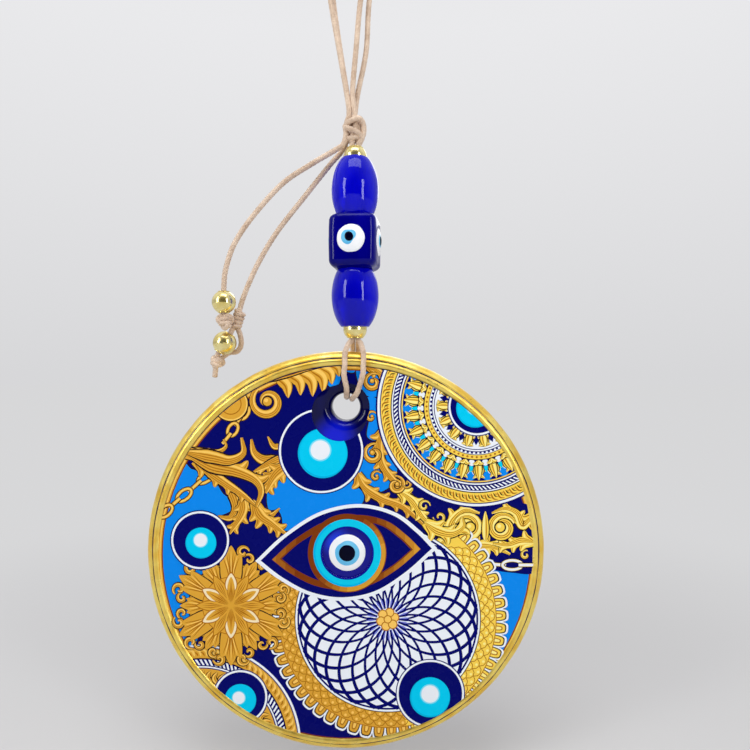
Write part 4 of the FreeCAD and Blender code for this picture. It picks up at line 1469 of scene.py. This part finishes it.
def lip_turn(angle):
    """Places of a cord round the hole's lips and through its throat, front to back."""
    out = Vector((math.sin(math.radians(angle)), 0, math.cos(math.radians(angle))))
    places = []
    for lip, depth, way, turns in (
        (FRONT_LIP, THICKNESS - FRONT_LIP, -1, (20, 50, 80)),
        (BACK_LIP, BACK_LIP, 1, (80, 50, 20)),
    ):
        reach = lip + CLEAR
        for turn in map(math.radians, turns):
            away = THROAT + lip - reach * math.sin(turn)
            places.append(HOLE + out * away + Y * (way * reach * math.cos(turn) - depth))
    return places


def lower_loops():
    """Two loops through the hole that carry the disc."""
    low, high = corners("lower_loop_left")
    foot = high.z
    bead = middle("lower_gold_bead").z
    front = -THICKNESS - CLEAR
    for name, node, side, bow, angle in (
        ("disc_loop_left", "lower_loop_left", -1, 2.4, 3),
        ("disc_loop_right", "lower_loop_right", 1, 2.2, 38),
    ):
        across = BAR.x + side * STRAND
        run = [
            (across, BAR.y - STRAND, bead + 1.2),
            (across, BAR.y - STRAND, foot),
            (BAR.x + side * 1.5, BAR.y - 2.1, foot - 1.2),
            (BAR.x + side * bow, front + 0.55, RIM_RADIUS - 0.6),
            (BAR.x + side * bow, front, RIM_RADIUS - 3.4),
            (BAR.x + side * bow - 0.2, front, RIM_RADIUS - 6.0),
            *lip_turn(angle),
            (BAR.x - 0.4 + side * 0.9, CLEAR, RIM_RADIUS - 7.0),
            (BAR.x - 0.1 + side * 0.8, CLEAR, RIM_RADIUS - 1.6),
            (across, CLEAR - 0.45, RIM_RADIUS + 0.6),
            (across, BAR.y + 2.2, foot - 1.2),
            (across, BAR.y + STRAND, foot),
            (across, BAR.y + STRAND, bead + 1.2),
        ]
        bend(cord_piece(name, node, laid(run)), "neck", "lower_loops", (0, bead + 0.6), (0, foot - 1.0))


def hanging_loops():
    """The doubled hanging loop, one loop inside the other."""
    start = KNOT_HIGH.z
    tall = 80.0
    # Each place is (right, share of the loop's height).
    outer = [
        (-1.5, 0.011), (-1.9, 0.06), (-4.1, 0.22), (-6.3, 0.38), (-8.4, 0.58), (-8.5, 0.76),
        (-5.9, 0.92), (-3.0, 0.985), (0.0, 1.0), (3.0, 0.985), (5.7, 0.925), (7.4, 0.79),
        (5.9, 0.58), (3.6, 0.38), (2.8, 0.22), (0.6, 0.08), (-0.03, 0.011),
    ]
    inner = [
        (-1.5, 0.011), (-1.8, 0.06), (-3.8, 0.22), (-5.6, 0.38), (-7.1, 0.58), (-7.1, 0.75),
        (-4.6, 0.89), (-2.2, 0.955), (0.0, 0.97), (2.2, 0.955), (4.2, 0.895), (5.3, 0.77),
        (4.0, 0.58), (1.5, 0.38), (0.3, 0.22), (-0.6, 0.08), (-0.03, 0.011),
    ]
    for name, node, outline, way in (
        ("loop_outer_cord", "hanging_loop_outer", outer, -1),
        ("loop_inner_cord", "hanging_loop_inner", inner, 1),
    ):
        run = []
        for place, (right, up) in enumerate(outline):
            crossed = 1.3 * math.cos(math.pi * place / (len(outline) - 1))
            back = way * (STRAND + 0.05) * max(-1, min(1, crossed))
            run.append(Vector((BAR.x + right, BAR.y + back, start + up * tall)))
        run.insert(0, Vector((run[0].x - 0.1, run[0].y, start - 1.6)))
        run.append(Vector((run[-1].x + 0.3, run[-1].y, start - 1.6)))
        bend(cord_piece(name, node, laid(run)), "loop", "knot", (0, start + 3.2), (0, start - 0.6))


def top_knot():
    """The overhand knot: a doubled bight over the top and down the right, round a core."""
    foot = KNOT_LOW.z
    bight_front = [
        (-2.2, 1.2, 4.0), (-2.5, -0.6, 4.6), (-1.3, -1.9, 5.3), (0.2, -2.25, 5.9), (1.4, -1.9, 5.9),
        (2.15, -1.2, 4.8), (2.2, -1.0, 3.1), (1.8, -0.95, 1.6), (0.8, -STRAND, -0.2),
        (STRAND, -STRAND, -2.2),
    ]
    bight_back = [
        (-1.6, 2.0, 3.2), (-0.4, 2.2, 4.4), (1.0, 1.6, 5.9), (2.1, 0.6, 5.2), (2.2, 0.4, 3.4),
        (1.6, 0.5, 1.6), (STRAND, STRAND, -0.2), (STRAND, STRAND, -2.2),
    ]
    turn_under = [
        (0.9, 1.7, 2.2), (-0.6, 2.1, 1.8), (-1.9, 1.3, 1.8), (-1.9, -0.4, 1.5), (-0.4, -1.5, 1.4),
        (1.0, -1.1, 1.9),
    ]
    core_left = [
        (-STRAND, -STRAND, -2.2), (-STRAND, -STRAND, 0.3), (-0.5, -0.9, 2.6), (0.1, -1.1, 4.2),
        (-0.1, -0.75, 7.2),
    ]
    core_back = [
        (-STRAND, STRAND, -2.2), (-STRAND, STRAND, 0.3), (-0.4, 0.8, 2.6), (0.6, 0.5, 4.4), (0.1, 0.7, 7.2),
    ]
    core_right = [(0.7, -0.2, 0.6), (0.9, -0.5, 2.8), (0.75, -0.6, 4.6), (0.5, -0.1, 6.2)]
    over_left = [
        (-0.9, 1.4, 5.9), (-2.0, 0.6, 5.8), (-2.3, -0.7, 4.6), (-1.5, -1.9, 3.5), (-0.1, -2.2, 2.9),
        (1.1, -1.7, 2.2), (1.3, -0.5, 1.2),
    ]
    base = Vector((BAR.x, BAR.y, foot))
    runs = (bight_front, bight_back, turn_under, core_left, core_back, core_right, over_left)
    knot = laid(*(placed(base, *run) for run in runs))
    bend(cord_piece("overhand_knot", "top_knot", knot), "knot", "bar", (0, foot + 0.9), (0, foot - 1.6))


def tails():
    """The two cord tails left of the bar; each starts in the knot and ends past a stopper knot."""
    head = KNOT_HIGH.z
    top = Vector((BAR.x, BAR.y, head))
    outer_bead, inner_bead = middle("outer_tail_bead"), middle("inner_tail_bead")
    slope = Vector((-math.sin(INNER_TAIL_LEAN), 0, -math.cos(INNER_TAIL_LEAN)))

    def hung(bead, left, up):
        """A place in a bead's depth, left of the bar."""
        return Vector((BAR.x - left, bead.y, up))

    outer = placed(top, (-1.5, -0.85, 0.4), (-2.35, -1.0, -2.4), (-2.3, -0.9, -4.4))
    outer += [hung(outer_bead, left, up) for left, up in (
        (3.0, 102.6), (4.9, 101.2), (11.5, 97.3), (18.4, 92.6), (25.8, 84.5), (30.6, 77.4), (32.8, 71.0),
    )]
    outer += placed(outer_bead, (0, 0, 4.0), (0, 0, 0), (0.1, 0, -5.0), (0.2, 0, -6.6))
    inner = placed(top, (-1.5, 0.8, 0.4), (-2.3, 0.8, -2.4), (-2.2, 1.2, -5.0))
    inner += [hung(inner_bead, left, up) for left, up in (
        (3.5, 101.8), (6.7, 98.1), (13.0, 90.2), (20.2, 81.0), (24.7, 73.6), (27.5, 67.7), (29.3, 62.9),
        (30.4, 58.9),
    )]
    inner += [inner_bead + slope * step for step in (-3.6, 0, 3.6)]
    inner.append(hung(inner_bead, 36.3, 43.6))
    # The inner tail's end is hitched round it over the bead and comes down beside the bead.
    bight = placed(inner_bead, (1.9, 0.5, 5.0), (3.2, 1.0, 3.6), (3.9, 1.3, 1.2), (3.8, 1.5, -0.8),
                   (2.6, 2.1, -2.2), (0.6, 2.8, -2.4), (-1.0, 2.2, -3.6), (-1.85, 0.6, -4.9))
    outer_tail = laid(outer)
    stopper(outer_tail, hung(outer_bead, 33.0, 57.7), Z, 4.9)
    inner_tail = laid(inner)
    coil(inner_tail, hung(inner_bead, 29.7, 60.4), hung(inner_bead, 30.9, 56.6), CLEAR)
    lay_cord(inner_tail, bight)
    stopper(inner_tail, hung(inner_bead, 35.6, 47.4), -slope, 4.1)
    for name, node, body, mesh in (
        ("outer_tail_laid_cord", "outer_tail_cord", "outer_tail", outer_tail),
        ("inner_tail_laid_cord", "inner_tail_cord", "inner_tail", inner_tail),
    ):
        bend(cord_piece(name, node, mesh), "knot", body, (-2.2, head - 5.0), (-6.0, head - 10.0))


# ---- the studio -------------------------------------------------------------------------------

HORIZON = (0.68, 0.68, 0.69)
BLACK = (0, 0, 0, 1)
WHITE = (1, 1, 1, 1)


def softbox(name, place, wide, tall, power):
    """A rectangular light in millimetres, facing the ornament."""
    light = bpy.data.lights.new(name, "AREA")
    light.shape = "RECTANGLE"
    light.size = wide * MM
    light.size_y = tall * MM
    light.energy = power
    lamp = bpy.data.objects.new(name, light)
    lamp.location = Vector(place) * MM
    facing = (Vector(place) - Vector((0, 0, 40))).normalized()
    lamp.rotation_euler = facing.to_track_quat("Z", "Y").to_euler()
    bpy.context.scene.collection.objects.link(lamp)


def pale_floor():
    """A floor that fades into the horizon away from the ornament."""
    reach, low = 6000.0, RIM_LOW.z - 9.0
    square = [(-reach, -reach, low), (reach, -reach, low), (reach, reach, low), (-reach, reach, low)]
    mesh = bpy.data.meshes.new("floor")
    mesh.from_pydata([Vector(corner) * MM for corner in square], [], [(0, 1, 2, 3)])
    floor = bpy.data.objects.new("floor", mesh)
    bpy.context.scene.collection.objects.link(floor)
    paint = Look("floor_paint", Roughness=1.0, Specular_IOR_Level=0.0, Emission_Color=(*HORIZON, 1))
    tint = ramp(paint.tree, paint.noise(400), (0.3, (0.55, 0.545, 0.54, 1)), (0.7, (0.6, 0.595, 0.59, 1)))
    below = (0, 0, low)
    paint.drive("Base Color", paint.glow(BLACK, below, tint, 20.0, 320.0))
    paint.drive("Emission Strength", paint.glow(WHITE, below, BLACK, 20.0, 320.0))
    mesh.materials.append(paint.material)


def pale_room():
    """Light comes from the sides and above; behind the camera the room is dim."""
    world = bpy.data.worlds.new("studio")
    bpy.context.scene.world = world
    world.use_nodes = True
    tree = world.node_tree
    split = tree.nodes.new("ShaderNodeSeparateXYZ")
    tree.links.new(tree.nodes.new("ShaderNodeTexCoord").outputs["Generated"], split.inputs[0])

    def greys(axis, *stops):
        """A grey for each direction, by how far it points along an axis."""
        share = spread(tree, split.outputs[axis], (-1, 1), (0, 1))
        return ramp(tree, share, *((at, (grey, grey, grey * 1.02, 1)) for at, grey in stops))

    room = mixed(tree, 1.0, greys("Y", (0.05, 0.05), (0.3, 0.5), (0.6, 0.8)),
                 greys("Z", (0.3, 0.25), (0.5, 0.5), (0.62, 0.8), (0.85, 1.1)), "MULTIPLY")
    seen = greys("Z", (0.5, HORIZON[0]), (0.75, 0.82))
    camera_ray = tree.nodes.new("ShaderNodeLightPath").outputs["Is Camera Ray"]
    tree.links.new(mixed(tree, camera_ray, room, seen), tree.nodes["Background"].inputs["Color"])


def studio():
    """A pale floor and room, with soft lights to the left, the right, above and behind."""
    pale_floor()
    pale_room()
    softbox("left_window", (-330, -260, 190), 90, 260, 0.66)
    softbox("right_window", (260, -300, 150), 70, 240, 0.54)
    softbox("top_bank", (0, -150, 420), 320, 160, 0.6)
    softbox("back_bank", (60, 360, 260), 300, 160, 0.25)
    bpy.context.scene.view_settings.view_transform = "Standard"


def camera():
    """The photograph's viewpoint: level, square on, close to the ornament."""
    lens = bpy.data.cameras.new("camera")
    lens.lens = 28.42
    lens.clip_start = 0.005
    lens.clip_end = 30
    view = bpy.data.objects.new("camera", lens)
    view.location = Vector((7.32, -154.5, 44.0)) * MM
    view.rotation_euler = (math.radians(90), 0, 0)
    bpy.context.scene.collection.objects.link(view)
    bpy.context.scene.camera = view


# ---- the whole ornament -----------------------------------------------------------------------

for build in (
    cast_disc, gilt_rim, glass_eye, film, sky_ground, rim_lines, upper_scrolls, middle_scrolls,
    lace_circle, arc_band, mandala, rosette, roundels, almond, oval_beads, cube_bead, cube_eyes,
    gold_beads, cords_in_bar, lower_loops, hanging_loops, top_knot, tails, studio, camera,
):
    build()
